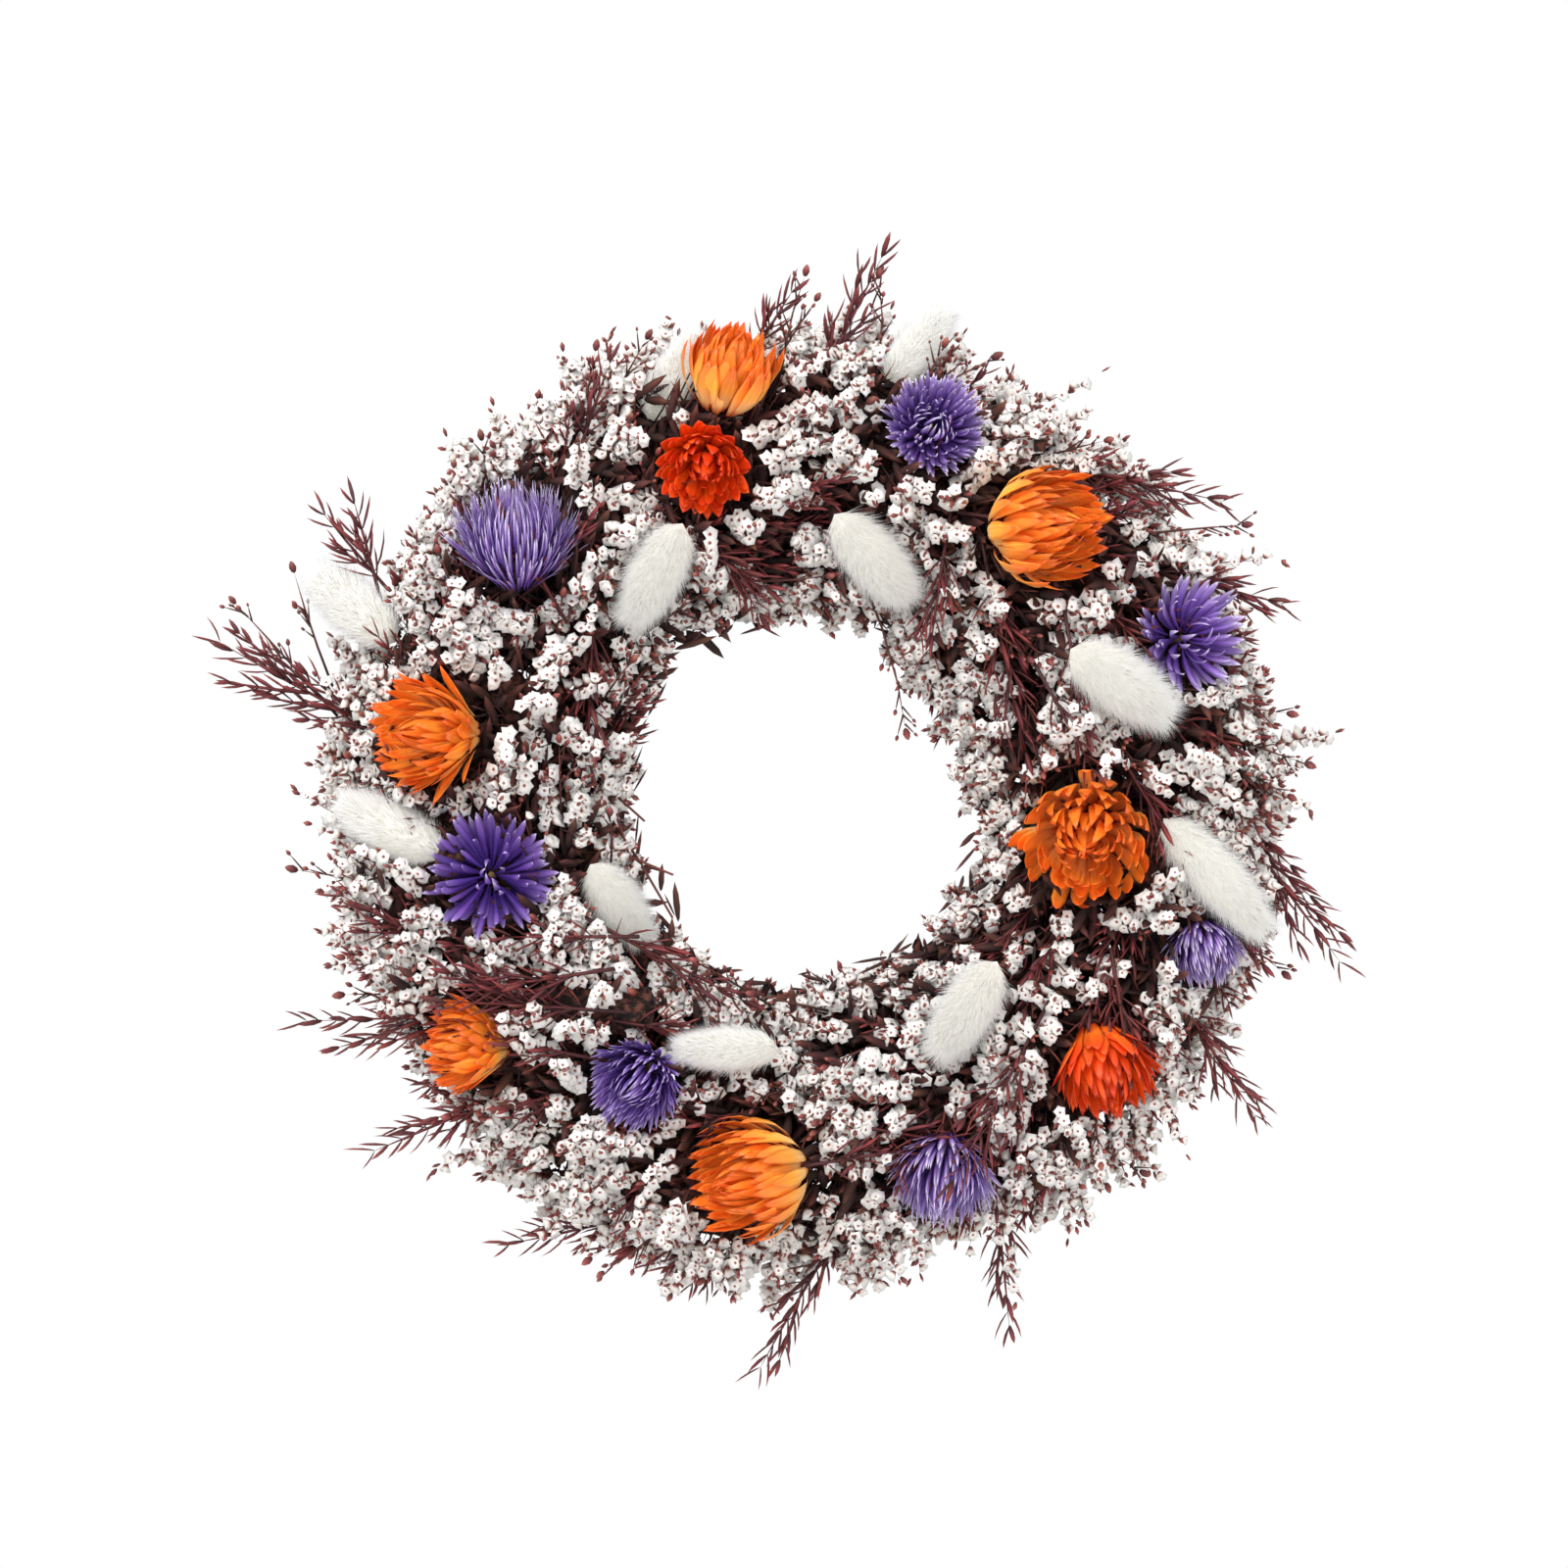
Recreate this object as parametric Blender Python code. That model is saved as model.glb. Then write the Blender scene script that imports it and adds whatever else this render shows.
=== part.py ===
"""Dried-flower door wreath: a twisted vine hoop, bound with wire and dressed with statice,
strawflowers, bunny tails and burgundy foliage, hung from a wire loop that pivots on a bar.

Run: blender --background --python part.py

Origin: the inner top of the hanging loop, where a door hook bears. +Z is up, the flowers
face -Y and the door is on the +Y side. Around the hoop a place is given by its clock angle
(degrees clockwise from the top, seen from the front), by how far it lies outside the middle
of the vine bundle, and by how far it stands forward of the bundle's middle plane.
"""

import math

import bmesh
import bpy
from mathutils import Matrix, Vector

MM = 0.001
FIT_GAP = 0.4 * MM  # left between pieces that nestle into each other

# The vine hoop and its binding
HOOP_RADIUS = 82 * MM  # centre of the wreath to the middle of the vine bundle
STRAND_COUNT = 4
STRAND_RADIUS = 6.0 * MM
STRAND_GAP = 0.6 * MM
STRAND_TWISTS = 2  # turns of each strand about the bundle, once round the hoop
STRAND_POINTS = 56
BINDING_RADIUS = 0.6 * MM
BINDING_TURNS = 16
BINDING_TURN_POINTS = 12
BINDING_FIRST_CLOCK = 19  # the binding starts and ends clear of the hanger at the top

# The hanger: a bar wrapped round the bundle, and a loop with an eye round the bar at each end
BAR_RADIUS = 1.0 * MM
BAR_HALF_WIDTH = 20 * MM
BAR_BEND = 3 * MM
WRAP_SWEEP = 320  # degrees that the bar's end goes round the bundle
WRAP_STEPS = 16
WRAP_SETTLE = 60  # degrees of the wrap in which the bar comes in to the bundle
LOOP_RADIUS = 0.9 * MM
LOOP_INNER_RADIUS = 10 * MM
LOOP_INNER_HEIGHT = 32 * MM  # bar to the inner top of the loop
LOOP_TOP_STEPS = 12
EYE_CLEARANCE = 0.4 * MM
EYE_SWEEP = 250
EYE_STEPS = 10

# The statice bunches, tied round the hoop
BUNCH_DEPTH = 42 * MM  # how far the crown of a bunch stands forward of the bundle
BUNCH_GAP = 0.6 * MM  # between neighbouring bunches
BUNCH_STATIONS = 5
BUNCH_SWELL = 0.1  # how much a bunch sinks from its middle to its sides
BUNCH_UNDERSIDE = 3 * MM  # how far the outer side hangs behind the middle plane
UNDERSIDE_SHARE = 0.7  # of the outward reach, where it hangs lowest
BUNCH_LIP = 3 * MM
CROWN_POINTS = 9
CROWN_FULLNESS = 0.6  # below 1 the crown is squarer than an ellipse
HUG_POINTS = 8
HUG_START = 8  # degrees behind the middle plane where the hold on the vine starts
BUNCH_REACHES = [  # outwards and inwards from the bundle's middle, in mm, clockwise from 12
    (60, 22), (60, 33), (64, 30), (68, 25), (64, 22), (62, 24),
    (70, 20), (66, 21), (66, 24), (64, 28), (64, 18), (60, 22),
]  # fmt: skip

# Turned dressing pieces. Each row: clock, outwards mm, forwards mm, heading (the clock
# direction that the piece points in), lean (degrees back from straight forward), then sizes.
HEAD_HEIGHT = 0.86  # of the head's width
HEAD_STEM_RADIUS = 1.2 * MM
HEAD_STEM_LENGTH = 7 * MM
ORANGE_HEADS = [  # middle of the head; width mm
    (350, 51, 40, 17, 59, 28),
    (343, 24, 46, 180, 18, 26),
    (41, 28, 47, 85, 39, 35),
    (98, 4, 46, 207, 13, 37),
    (132, 41, 42, 169, 54, 30),
    (188, 34, 46, 262, 47, 35),
    (234, 46, 40, 270, 58, 28),
    (280, 34, 46, 270, 39, 34),
]
PURPLE_HEADS = [
    (312, 37, 44, 0, 51, 33),
    (19, 39, 43, 45, 8, 30),
    (67, 47, 40, 72, 19, 31),
    (111, 49, 35, 172, 52, 24),
    (160, 41, 44, 188, 47, 32),
    (211, 19, 47, 225, 27, 28),
    (257, 17, 46, 0, 6, 35),
]
TAIL_STEM_RADIUS = 0.8 * MM
TAIL_STEM_LENGTH = 14 * MM
TAILS = [  # middle of the plume; length mm, width mm
    (343, 55, 26, 31, 85, 36, 15),
    (14, 62, 27, 39, 88, 32, 14),
    (326, 0, 47, 208, 95, 39, 18),
    (16, -6, 45, 138, 95, 40, 19),
    (293, 70, 24, 310, 90, 37, 18),
    (70, 20, 52, 124, 92, 41, 21),
    (266, 46, 34, 297, 95, 42, 18),
    (241, -16, 35, 145, 100, 32, 16),
    (101, 46, 45, 138, 92, 54, 18),
    (143, -1, 48, 212, 92, 39, 18),
    (198, -2, 48, 270, 88, 36, 14),
]
SPRIG_STEM_RADIUS = 1.0 * MM
SPRIG_STEM_LENGTH = 16 * MM
SPRIG_FLATNESS = 0.6  # thickness over width
SPRIGS = [  # foot of the foliage; length mm, width mm
    (279, 51, 24, 296, 88, 60, 27),
    (226, 12, 34, 267, 99, 92, 27),
    (202, 58, 20, 255, 90, 43, 15),
    (176, 54, 22, 213, 88, 50, 18),
    (154, 52, 22, 172, 90, 46, 15),
    (119, 53, 24, 150, 90, 42, 18),
    (92, 50, 22, 145, 88, 60, 24),
    (60, 54, 24, 103, 88, 33, 18),
    (36, 45, 30, 99, 88, 58, 18),
    (2, 47, 24, 27, 88, 46, 18),
    (309, 2, 38, 185, 95, 48, 16),
    (41, 4, 40, 170, 92, 60, 18),
    (105, 24, 33, 203, 76, 48, 20),
    (137, 18, 46, 209, 74, 53, 18),
    (234, -11, 42, 119, 92, 46, 16),
]
TURNED_STEPS = 8
SHARP_ANGLE = 50

# Worked out from the values above
STRAND_OFFSET = (2 * STRAND_RADIUS + STRAND_GAP) / 2 / math.sin(math.pi / STRAND_COUNT)
BUNDLE_RADIUS = STRAND_OFFSET + STRAND_RADIUS
BINDING_REACH = (BUNDLE_RADIUS + FIT_GAP + BINDING_RADIUS) / math.cos(math.pi / BINDING_TURN_POINTS)
WRAP_REACH = (BUNDLE_RADIUS + FIT_GAP + BAR_RADIUS) / math.cos(math.radians(WRAP_SWEEP / WRAP_STEPS / 2))
STATION_SWEEP = math.tau / len(BUNCH_REACHES) / (BUNCH_STATIONS - 1)
STATION_SAG = (HOOP_RADIUS + WRAP_REACH) * (1 - math.cos(STATION_SWEEP / 2))
HUG_CHORD = math.cos(math.pi / 2 / (HUG_POINTS - 1))  # how near a flat of the hug comes
HUG_RADIUS = (WRAP_REACH + BAR_RADIUS + FIT_GAP + STATION_SAG) / HUG_CHORD
EYE_RADIUS = BAR_RADIUS + EYE_CLEARANCE + LOOP_RADIUS
BAR_STANDOFF = BUNDLE_RADIUS + EYE_RADIUS + LOOP_RADIUS + EYE_CLEARANCE
WRAP_CLOCK = math.degrees(math.asin(BAR_HALF_WIDTH / HOOP_RADIUS))
BAR_HEIGHT = HOOP_RADIUS * math.cos(math.radians(WRAP_CLOCK))
PIVOT = Vector((0, -EYE_RADIUS, -LOOP_INNER_HEIGHT))
HOOP_CENTRE = PIVOT + Vector((0, -BAR_STANDOFF, -BAR_HEIGHT))
TURNED_CHORD = math.cos(math.pi / TURNED_STEPS)  # how near a flat of a turned piece comes
UP = Vector((0, 0, 1))


def clear_scene():
    for obj in list(bpy.data.objects):
        bpy.data.objects.remove(obj, do_unlink=True)


def material(name, colour, roughness, metallic=0.0):
    made = bpy.data.materials.new(name)
    made.use_nodes = True
    shader = made.node_tree.nodes["Principled BSDF"]
    shader.inputs["Base Color"].default_value = (*colour, 1)
    shader.inputs["Roughness"].default_value = roughness
    shader.inputs["Metallic"].default_value = metallic
    return made


def add_object(name, data, parent, look):
    """Adds data as an object whose place is measured from its parent."""
    obj = bpy.data.objects.new(name, data)
    bpy.context.scene.collection.objects.link(obj)
    obj.parent = parent
    if look:
        data.materials.append(look)
    return obj


def add_empty(name, place, parent=None):
    empty = add_object(name, None, parent, None)
    empty.location = place
    return empty


def hoop_point(clock, outwards, forwards):
    """A place by clock angle in degrees, measured from the wreath's centre."""
    angle = math.radians(clock)
    reach = HOOP_RADIUS + outwards
    return Vector((reach * math.sin(angle), -forwards, reach * math.cos(angle)))


def bundle_point(clock, reach, turn):
    """A place at reach from the bundle's middle line. Turn 0 is behind it, 90 outside it."""
    angle = math.radians(turn)
    return hoop_point(clock, reach * math.sin(angle), -reach * math.cos(angle))


def heading_direction(heading, lean):
    """Lean 0 points straight forward, 90 lies in the wreath's plane towards the heading."""
    across = math.sin(math.radians(lean))
    angle = math.radians(heading)
    return Vector(
        (across * math.sin(angle), -math.cos(math.radians(lean)), across * math.cos(angle))
    )


def wire(name, points, radius, resolution, parent, look, closed=False):
    """A wire or vine along points, as a curve with a round bevel and filled caps."""
    curve = bpy.data.curves.new(name, "CURVE")
    curve.dimensions = "3D"
    curve.bevel_depth = radius
    curve.bevel_resolution = resolution
    curve.use_fill_caps = True
    spline = curve.splines.new("POLY")
    spline.points.add(len(points) - 1)
    for spot, place in zip(spline.points, points, strict=True):
        spot.co = (*place, 1)
    spline.use_cyclic_u = closed
    spline.use_smooth = True
    return add_object(name, curve, parent, look)


def arc(centre, start, end, sweep, steps):
    """Points from centre + start, turning towards centre + end through sweep degrees."""
    turns = [math.radians(sweep * i / steps) for i in range(steps + 1)]
    return [centre + start * math.cos(turn) + end * math.sin(turn) for turn in turns]


def add_strands(hoop, look):
    for number in range(STRAND_COUNT):
        points = []
        for i in range(STRAND_POINTS):
            share = i / STRAND_POINTS
            turn = 360 * (STRAND_TWISTS * share + number / STRAND_COUNT)
            points.append(bundle_point(360 * share, STRAND_OFFSET, turn))
        name = f"vine_strand_{number + 1}"
        wire(name, points, STRAND_RADIUS, 1, hoop, look, closed=True)


def add_binding(hoop, look):
    """One wire in a long helix round the bundle, open at the hanger."""
    steps = BINDING_TURNS * BINDING_TURN_POINTS
    sweep = 360 - 2 * BINDING_FIRST_CLOCK
    points = []
    for i in range(steps + 1):
        clock = BINDING_FIRST_CLOCK + sweep * i / steps
        points.append(bundle_point(clock, BINDING_REACH, 360 * BINDING_TURNS * i / steps))
    wire("binding_wire", points, BINDING_RADIUS, 0, hoop, look)


def wrap_points(side):
    """One end of the bar, from its bend to the tucked end behind the bundle."""
    bar_end = bundle_point(side * WRAP_CLOCK, BAR_STANDOFF, 0)
    bend = [bar_end + Vector((-side * BAR_BEND, 0, 0))]
    for i in range(1, WRAP_STEPS + 1):
        turn = WRAP_SWEEP * i / WRAP_STEPS
        settle = max(0, 1 - turn / WRAP_SETTLE)
        reach = WRAP_REACH + (BAR_STANDOFF - WRAP_REACH) * settle
        bend.append(bundle_point(side * WRAP_CLOCK, reach, turn))
    return bend


def add_hanger_bar(hoop, look):
    points = wrap_points(-1)[::-1] + wrap_points(1)
    wire("hanger_bar", points, BAR_RADIUS, 1, hoop, look)


def leg_points(side):
    """The loop's eye round the bar and its leg, from the eye's free end upwards."""
    across = LOOP_INNER_RADIUS + LOOP_RADIUS
    centre = PIVOT + Vector((side * across, 0, 0))
    towards_door = Vector((0, EYE_RADIUS, 0))
    downwards = Vector((0, 0, -EYE_RADIUS))
    return arc(centre, towards_door, downwards, EYE_SWEEP, EYE_STEPS)[::-1]


def add_hanging_loop(hook, look):
    across = LOOP_INNER_RADIUS + LOOP_RADIUS
    top = arc(
        Vector((0, 0, -LOOP_INNER_RADIUS)),
        Vector((-across, 0, 0)),
        Vector((0, 0, across)),
        180,
        LOOP_TOP_STEPS,
    )
    points = leg_points(-1) + top + leg_points(1)[::-1]
    wire("hanging_loop", points, LOOP_RADIUS, 1, hook, look)


def grown(profile, gap):
    """The profile moved outwards by gap. It runs from the axis at the foot to the top."""
    spots = [Vector(spot) for spot in profile]
    moved = []
    for i, spot in enumerate(spots):
        along = spots[min(i + 1, len(spots) - 1)] - spots[max(i - 1, 0)]
        if i == 0:
            out = Vector((0, -1))
        elif i == len(spots) - 1:
            out = Vector((0, 1))
        else:
            out = Vector((along.y, -along.x)).normalized()
        moved.append(spot + out * gap / TURNED_CHORD)
    return [(max(spot.x, 0.0), spot.y) for spot in moved]


def turned_mesh(name, profile, flatness=1.0):
    """A closed solid of revolution about +Z, flattened along its own Y."""
    bm = bmesh.new()
    spots = [bm.verts.new((radius, 0, height)) for radius, height in profile]
    edges = [bm.edges.new(pair) for pair in zip(spots, spots[1:], strict=False)]
    bmesh.ops.spin(
        bm,
        geom=spots + edges,
        axis=UP,
        angle=math.tau,
        steps=TURNED_STEPS,
        use_merge=True,
    )
    bmesh.ops.remove_doubles(bm, verts=bm.verts, dist=0.01 * MM)
    bmesh.ops.scale(bm, vec=(1, flatness, 1), verts=bm.verts)
    bmesh.ops.recalc_face_normals(bm, faces=bm.faces)
    mesh = bpy.data.meshes.new(name)
    bm.to_mesh(mesh)
    bm.free()
    mesh.shade_smooth()
    mesh.set_sharp_from_angle(angle=math.radians(SHARP_ANGLE))
    return mesh


def head_profile(width):
    """A strawflower head about its middle: stem, green cup and closed dome of bracts."""
    radius = width / 2
    rise = radius * HEAD_HEIGHT
    points = [(0, -rise - HEAD_STEM_LENGTH), (HEAD_STEM_RADIUS, -rise - HEAD_STEM_LENGTH)]
    points.append((HEAD_STEM_RADIUS, -rise))
    for turn in (-55, -25, 5, 35, 65):
        angle = math.radians(turn)
        points.append((radius * math.cos(angle), rise * math.sin(angle)))
    return points + [(0, rise)]


def tail_profile(length, width):
    """A bunny tail about the middle of its plume, widest nearer its foot."""
    foot = -length / 2
    points = [(0, foot - TAIL_STEM_LENGTH), (TAIL_STEM_RADIUS, foot - TAIL_STEM_LENGTH)]
    points.append((TAIL_STEM_RADIUS, foot))
    for share, fullness in ((0.1, 0.62), (0.3, 0.97), (0.52, 1.0), (0.75, 0.76), (0.92, 0.4)):
        points.append((fullness * width / 2, foot + share * length))
    return points + [(0, length / 2)]


def sprig_profile(length, width):
    """A burgundy sprig from the foot of its foliage: bare stem, then a tapering spindle."""
    points = [(0, -SPRIG_STEM_LENGTH), (SPRIG_STEM_RADIUS, -SPRIG_STEM_LENGTH)]
    points.append((SPRIG_STEM_RADIUS, 0))
    for share, fullness in ((0.12, 0.6), (0.35, 1.0), (0.65, 0.85), (0.88, 0.4)):
        points.append((fullness * width / 2, share * length))
    return points + [(0, length)]


class Dressing:
    """The pieces that stand in the bunches, each cut back from those set before it."""

    def __init__(self, hoop):
        self.hoop = hoop
        self.set_pieces = []

    def place(self, obj, clock, outwards, forwards, heading, lean):
        direction = heading_direction(heading, lean)
        flat_side = direction.cross(Vector((0, 1, 0))).normalized()
        turn = Matrix((flat_side, direction.cross(flat_side), direction)).transposed()
        spot = hoop_point(clock, outwards * MM, forwards * MM)
        obj.matrix_basis = Matrix.Translation(spot) @ turn.to_4x4()

    def add(self, name, profile, row, look, flatness=1.0):
        piece = add_object(name, turned_mesh(name, profile, flatness), self.hoop, look)
        room_profile = grown(profile, FIT_GAP / flatness)
        room = add_object(
            f"room_{name}", turned_mesh(f"room_{name}", room_profile, flatness), self.hoop, None
        )
        room.hide_render = True
        room.display_type = "WIRE"
        for obj in (piece, room):
            self.place(obj, *row)
        corners = [piece.matrix_basis @ vertex.co for vertex in piece.data.vertices]
        self.cut_round_neighbours(piece, corners)
        self.set_pieces.append((room, corners))

    def cut_round_neighbours(self, piece, corners):
        """Takes the room of each earlier piece that comes near out of this one."""
        for room, others in self.set_pieces:
            if boxes_meet(corners, others):
                cut(piece, room)


def boxes_meet(corners, others):
    for axis in range(3):
        low = max(min(c[axis] for c in corners), min(c[axis] for c in others))
        high = min(max(c[axis] for c in corners), max(c[axis] for c in others))
        if low > high + 2 * FIT_GAP:
            return False
    return True


def cut(piece, cutter):
    made = piece.modifiers.new(f"less {cutter.name}", "BOOLEAN")
    made.operation = "DIFFERENCE"
    made.solver = "MANIFOLD"
    made.object = cutter


def reaches_at(clock):
    """Outward and inward reach, passing smoothly from the middle of one bunch to the next."""
    count = len(BUNCH_REACHES)
    place = clock * count / 360 - 0.5
    first = math.floor(place)
    ease = 0.5 - 0.5 * math.cos(math.pi * (place - first))
    before = BUNCH_REACHES[first % count]
    after = BUNCH_REACHES[(first + 1) % count]
    return [MM * (a + (b - a) * ease) for a, b in zip(before, after, strict=True)]


def bunch_section(outer, inner, depth):
    """A bunch's outline as (outwards, forwards): its crown, then its hold on the vine."""
    last_hug = math.acos(max(-math.cos(math.radians(HUG_START)), (BUNCH_LIP - inner) / HUG_RADIUS))
    inner_foot = HUG_RADIUS * math.sin(last_hug)
    middle = (outer - inner) / 2
    half = (outer + inner) / 2
    outline = []
    for i in range(CROWN_POINTS):
        turn = math.pi * (1 - i / (CROWN_POINTS - 1))
        rise = math.sin(turn) ** CROWN_FULLNESS if 0 < i < CROWN_POINTS - 1 else 0.0
        foot = inner_foot if math.cos(turn) < 0 else 0.0
        outline.append((middle + half * math.cos(turn), foot + (depth - foot) * rise))
    outline.append((UNDERSIDE_SHARE * outer, -BUNCH_UNDERSIDE))
    first_hug = -math.radians(HUG_START)
    for i in range(HUG_POINTS):
        turn = first_hug + (last_hug - first_hug) * i / (HUG_POINTS - 1)
        outline.append((HUG_RADIUS * math.cos(turn), HUG_RADIUS * math.sin(turn)))
    return outline


def bunch_mesh(name, first_clock, sweep):
    bm = bmesh.new()
    rows = []
    for i in range(BUNCH_STATIONS):
        share = i / (BUNCH_STATIONS - 1)
        clock = first_clock + sweep * share
        depth = BUNCH_DEPTH * (1 - BUNCH_SWELL * (2 * share - 1) ** 2)
        outline = bunch_section(*reaches_at(clock), depth)
        rows.append([bm.verts.new(hoop_point(clock, *spot)) for spot in outline])
    for row, after in zip(rows, rows[1:], strict=False):
        for i in range(len(row)):
            bm.faces.new((row[i - 1], row[i], after[i], after[i - 1]))
    bm.faces.new(rows[0][::-1])
    bm.faces.new(rows[-1])
    bmesh.ops.recalc_face_normals(bm, faces=bm.faces)
    mesh = bpy.data.meshes.new(name)
    bm.to_mesh(mesh)
    bm.free()
    return mesh


def add_bunches(dressing, look):
    """Twelve statice bunches, each hollowed where the flowers and sprigs stand in it."""
    count = len(BUNCH_REACHES)
    half_gap = math.degrees(BUNCH_GAP / 2 / HOOP_RADIUS)
    for number in range(count):
        first_clock = 360 * number / count + half_gap
        name = f"statice_bunch_{number + 1:02d}"
        mesh = bunch_mesh(name, first_clock, 360 / count - 2 * half_gap)
        bunch = add_object(name, mesh, dressing.hoop, look)
        dressing.cut_round_neighbours(bunch, [vertex.co for vertex in mesh.vertices])


def build():
    clear_scene()
    vine_bark = material("vine_bark", (0.09, 0.045, 0.025), 0.8)
    iron_wire = material("iron_wire", (0.06, 0.06, 0.06), 0.45, 0.9)
    galvanised_wire = material("galvanised_wire", (0.55, 0.56, 0.57), 0.4, 0.9)
    orange_bracts = material("orange_bracts", (0.85, 0.22, 0.02), 0.45)
    purple_bracts = material("purple_bracts", (0.25, 0.13, 0.5), 0.5)
    tail_down = material("tail_down", (0.88, 0.86, 0.78), 0.9)
    burgundy_leaf = material("burgundy_leaf", (0.12, 0.025, 0.03), 0.7)
    statice_paper = material("statice_paper", (0.82, 0.8, 0.78), 0.8)

    hook = add_empty("hook", (0, 0, 0))
    pivot = add_empty("wreath_pivot", PIVOT)
    hoop = add_empty("hoop_centre", HOOP_CENTRE - PIVOT, pivot)

    add_hanging_loop(hook, galvanised_wire)
    add_hanger_bar(hoop, galvanised_wire)
    add_strands(hoop, vine_bark)
    add_binding(hoop, iron_wire)

    dressing = Dressing(hoop)
    for number, (*row, width) in enumerate(ORANGE_HEADS, 1):
        profile = head_profile(width * MM)
        dressing.add(f"orange_strawflower_{number}", profile, row, orange_bracts)
    for number, (*row, width) in enumerate(PURPLE_HEADS, 1):
        profile = head_profile(width * MM)
        dressing.add(f"purple_strawflower_{number}", profile, row, purple_bracts)
    for number, (*row, length, width) in enumerate(TAILS, 1):
        profile = tail_profile(length * MM, width * MM)
        dressing.add(f"bunny_tail_{number:02d}", profile, row, tail_down)
    for number, (*row, length, width) in enumerate(SPRIGS, 1):
        profile = sprig_profile(length * MM, width * MM)
        name = f"burgundy_sprig_{number:02d}"
        dressing.add(name, profile, row, burgundy_leaf, SPRIG_FLATNESS)
    add_bunches(dressing, statice_paper)


build()
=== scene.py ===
"""The looks of a dried-flower door wreath: bark, wire, paper florets, bracts, down and foliage.

Run: blender --background --python scene.py
"""

import math

import bmesh
import bpy
import numpy as np
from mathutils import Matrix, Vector
from mathutils.bvhtree import BVHTree


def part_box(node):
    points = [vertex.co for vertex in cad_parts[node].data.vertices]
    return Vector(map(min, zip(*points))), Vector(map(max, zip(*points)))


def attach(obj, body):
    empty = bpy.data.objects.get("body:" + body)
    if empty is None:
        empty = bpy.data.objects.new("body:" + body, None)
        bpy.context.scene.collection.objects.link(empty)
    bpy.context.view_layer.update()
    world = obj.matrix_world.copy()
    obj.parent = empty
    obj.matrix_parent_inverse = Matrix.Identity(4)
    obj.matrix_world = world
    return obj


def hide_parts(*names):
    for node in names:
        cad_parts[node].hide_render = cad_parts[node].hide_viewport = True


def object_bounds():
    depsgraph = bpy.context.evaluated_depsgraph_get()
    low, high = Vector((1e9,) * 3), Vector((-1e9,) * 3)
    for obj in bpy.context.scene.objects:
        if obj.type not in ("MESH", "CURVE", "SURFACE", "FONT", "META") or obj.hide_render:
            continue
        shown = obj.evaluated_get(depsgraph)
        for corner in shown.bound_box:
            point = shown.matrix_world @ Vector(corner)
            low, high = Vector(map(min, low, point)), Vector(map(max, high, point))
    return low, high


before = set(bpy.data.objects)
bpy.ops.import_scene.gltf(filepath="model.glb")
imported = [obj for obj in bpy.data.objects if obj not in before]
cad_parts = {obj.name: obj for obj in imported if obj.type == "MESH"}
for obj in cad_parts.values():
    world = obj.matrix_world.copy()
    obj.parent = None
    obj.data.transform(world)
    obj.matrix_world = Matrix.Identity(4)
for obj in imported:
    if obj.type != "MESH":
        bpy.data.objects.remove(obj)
cad_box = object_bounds()
MM = 0.001
chance = np.random.default_rng(11)


# ------------------------ the vine hoop
# Four lengths of dried grape vine, twisted round each other into a ring. The bark is dull
# grey-brown, with furrows along its length and knobs here and there.
BARK_LOW = "2A1A13"
BARK_HIGH = "6E5240"
FURROW_WIDTH = 1.1 * MM
FURROW_LENGTH = 26 * MM
FURROW_DEPTH = 0.7 * MM
KNOB_SPACING = 14 * MM
KNOB_HEIGHT = 1.6 * MM
STRANDS = [f"vine_strand_{number}" for number in range(1, 5)]
STRAND_RINGS = 56
MERGE_DISTANCE = 0.002 * MM  # joins the corners that the CAD's loose triangles share


def colour(code):
    """An sRGB hex code as a linear colour."""
    parts = [int(code[i : i + 2], 16) / 255 for i in (0, 2, 4)]
    linear = [p / 12.92 if p <= 0.04045 else ((p + 0.055) / 1.055) ** 2.4 for p in parts]
    return (*linear, 1.0)


def add_node(tree, kind, sockets=None, stops=None, **settings):
    """Adds a shader node: its settings, its socket values or links, and a ramp's stops."""
    node = tree.nodes.new(kind)
    for name, value in settings.items():
        setattr(node, name, value)
    for name, value in (sockets or {}).items():
        if isinstance(value, bpy.types.NodeSocket):
            tree.links.new(value, node.inputs[name])
        else:
            node.inputs[name].default_value = value
    for i, (place, code) in enumerate(stops or []):
        elements = node.color_ramp.elements
        stop = elements[i] if i < 2 else elements.new(place)
        stop.position = place
        stop.color = colour(code)
    return node


def new_material(name, **values):
    """A Principled material. Underscores in a value's name stand for spaces."""
    made = bpy.data.materials.new(name)
    made.use_nodes = True
    shader = made.node_tree.nodes["Principled BSDF"]
    for socket, value in values.items():
        shader.inputs[socket.replace("_", " ")].default_value = value
    return made, made.node_tree, shader


def add_object(name, data):
    made = bpy.data.objects.new(name, data)
    bpy.context.scene.collection.objects.link(made)
    return made


def spots_of(mesh):
    return np.array([vertex.co for vertex in mesh.vertices])


def merged_copy(node, name):
    """A copy of a CAD node's mesh as a new object, with its loose triangles joined up."""
    bm = bmesh.new()
    bm.from_mesh(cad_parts[node].data)
    bmesh.ops.remove_doubles(bm, verts=bm.verts, dist=MERGE_DISTANCE)
    mesh = bpy.data.meshes.new(name)
    bm.to_mesh(mesh)
    bm.free()
    mesh.materials.clear()
    mesh.shade_smooth()
    return add_object(name, mesh)


def dress(piece, look, body="wreath", stands_for=()):
    """Gives a piece its material, and says what it moves with and stands for."""
    piece.data.materials.append(look)
    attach(piece, body)
    if stands_for:
        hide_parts(*stands_for)


def refine(piece, levels):
    smoother = piece.modifiers.new("rounded", "SUBSURF")
    smoother.levels = levels
    smoother.render_levels = levels


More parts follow.
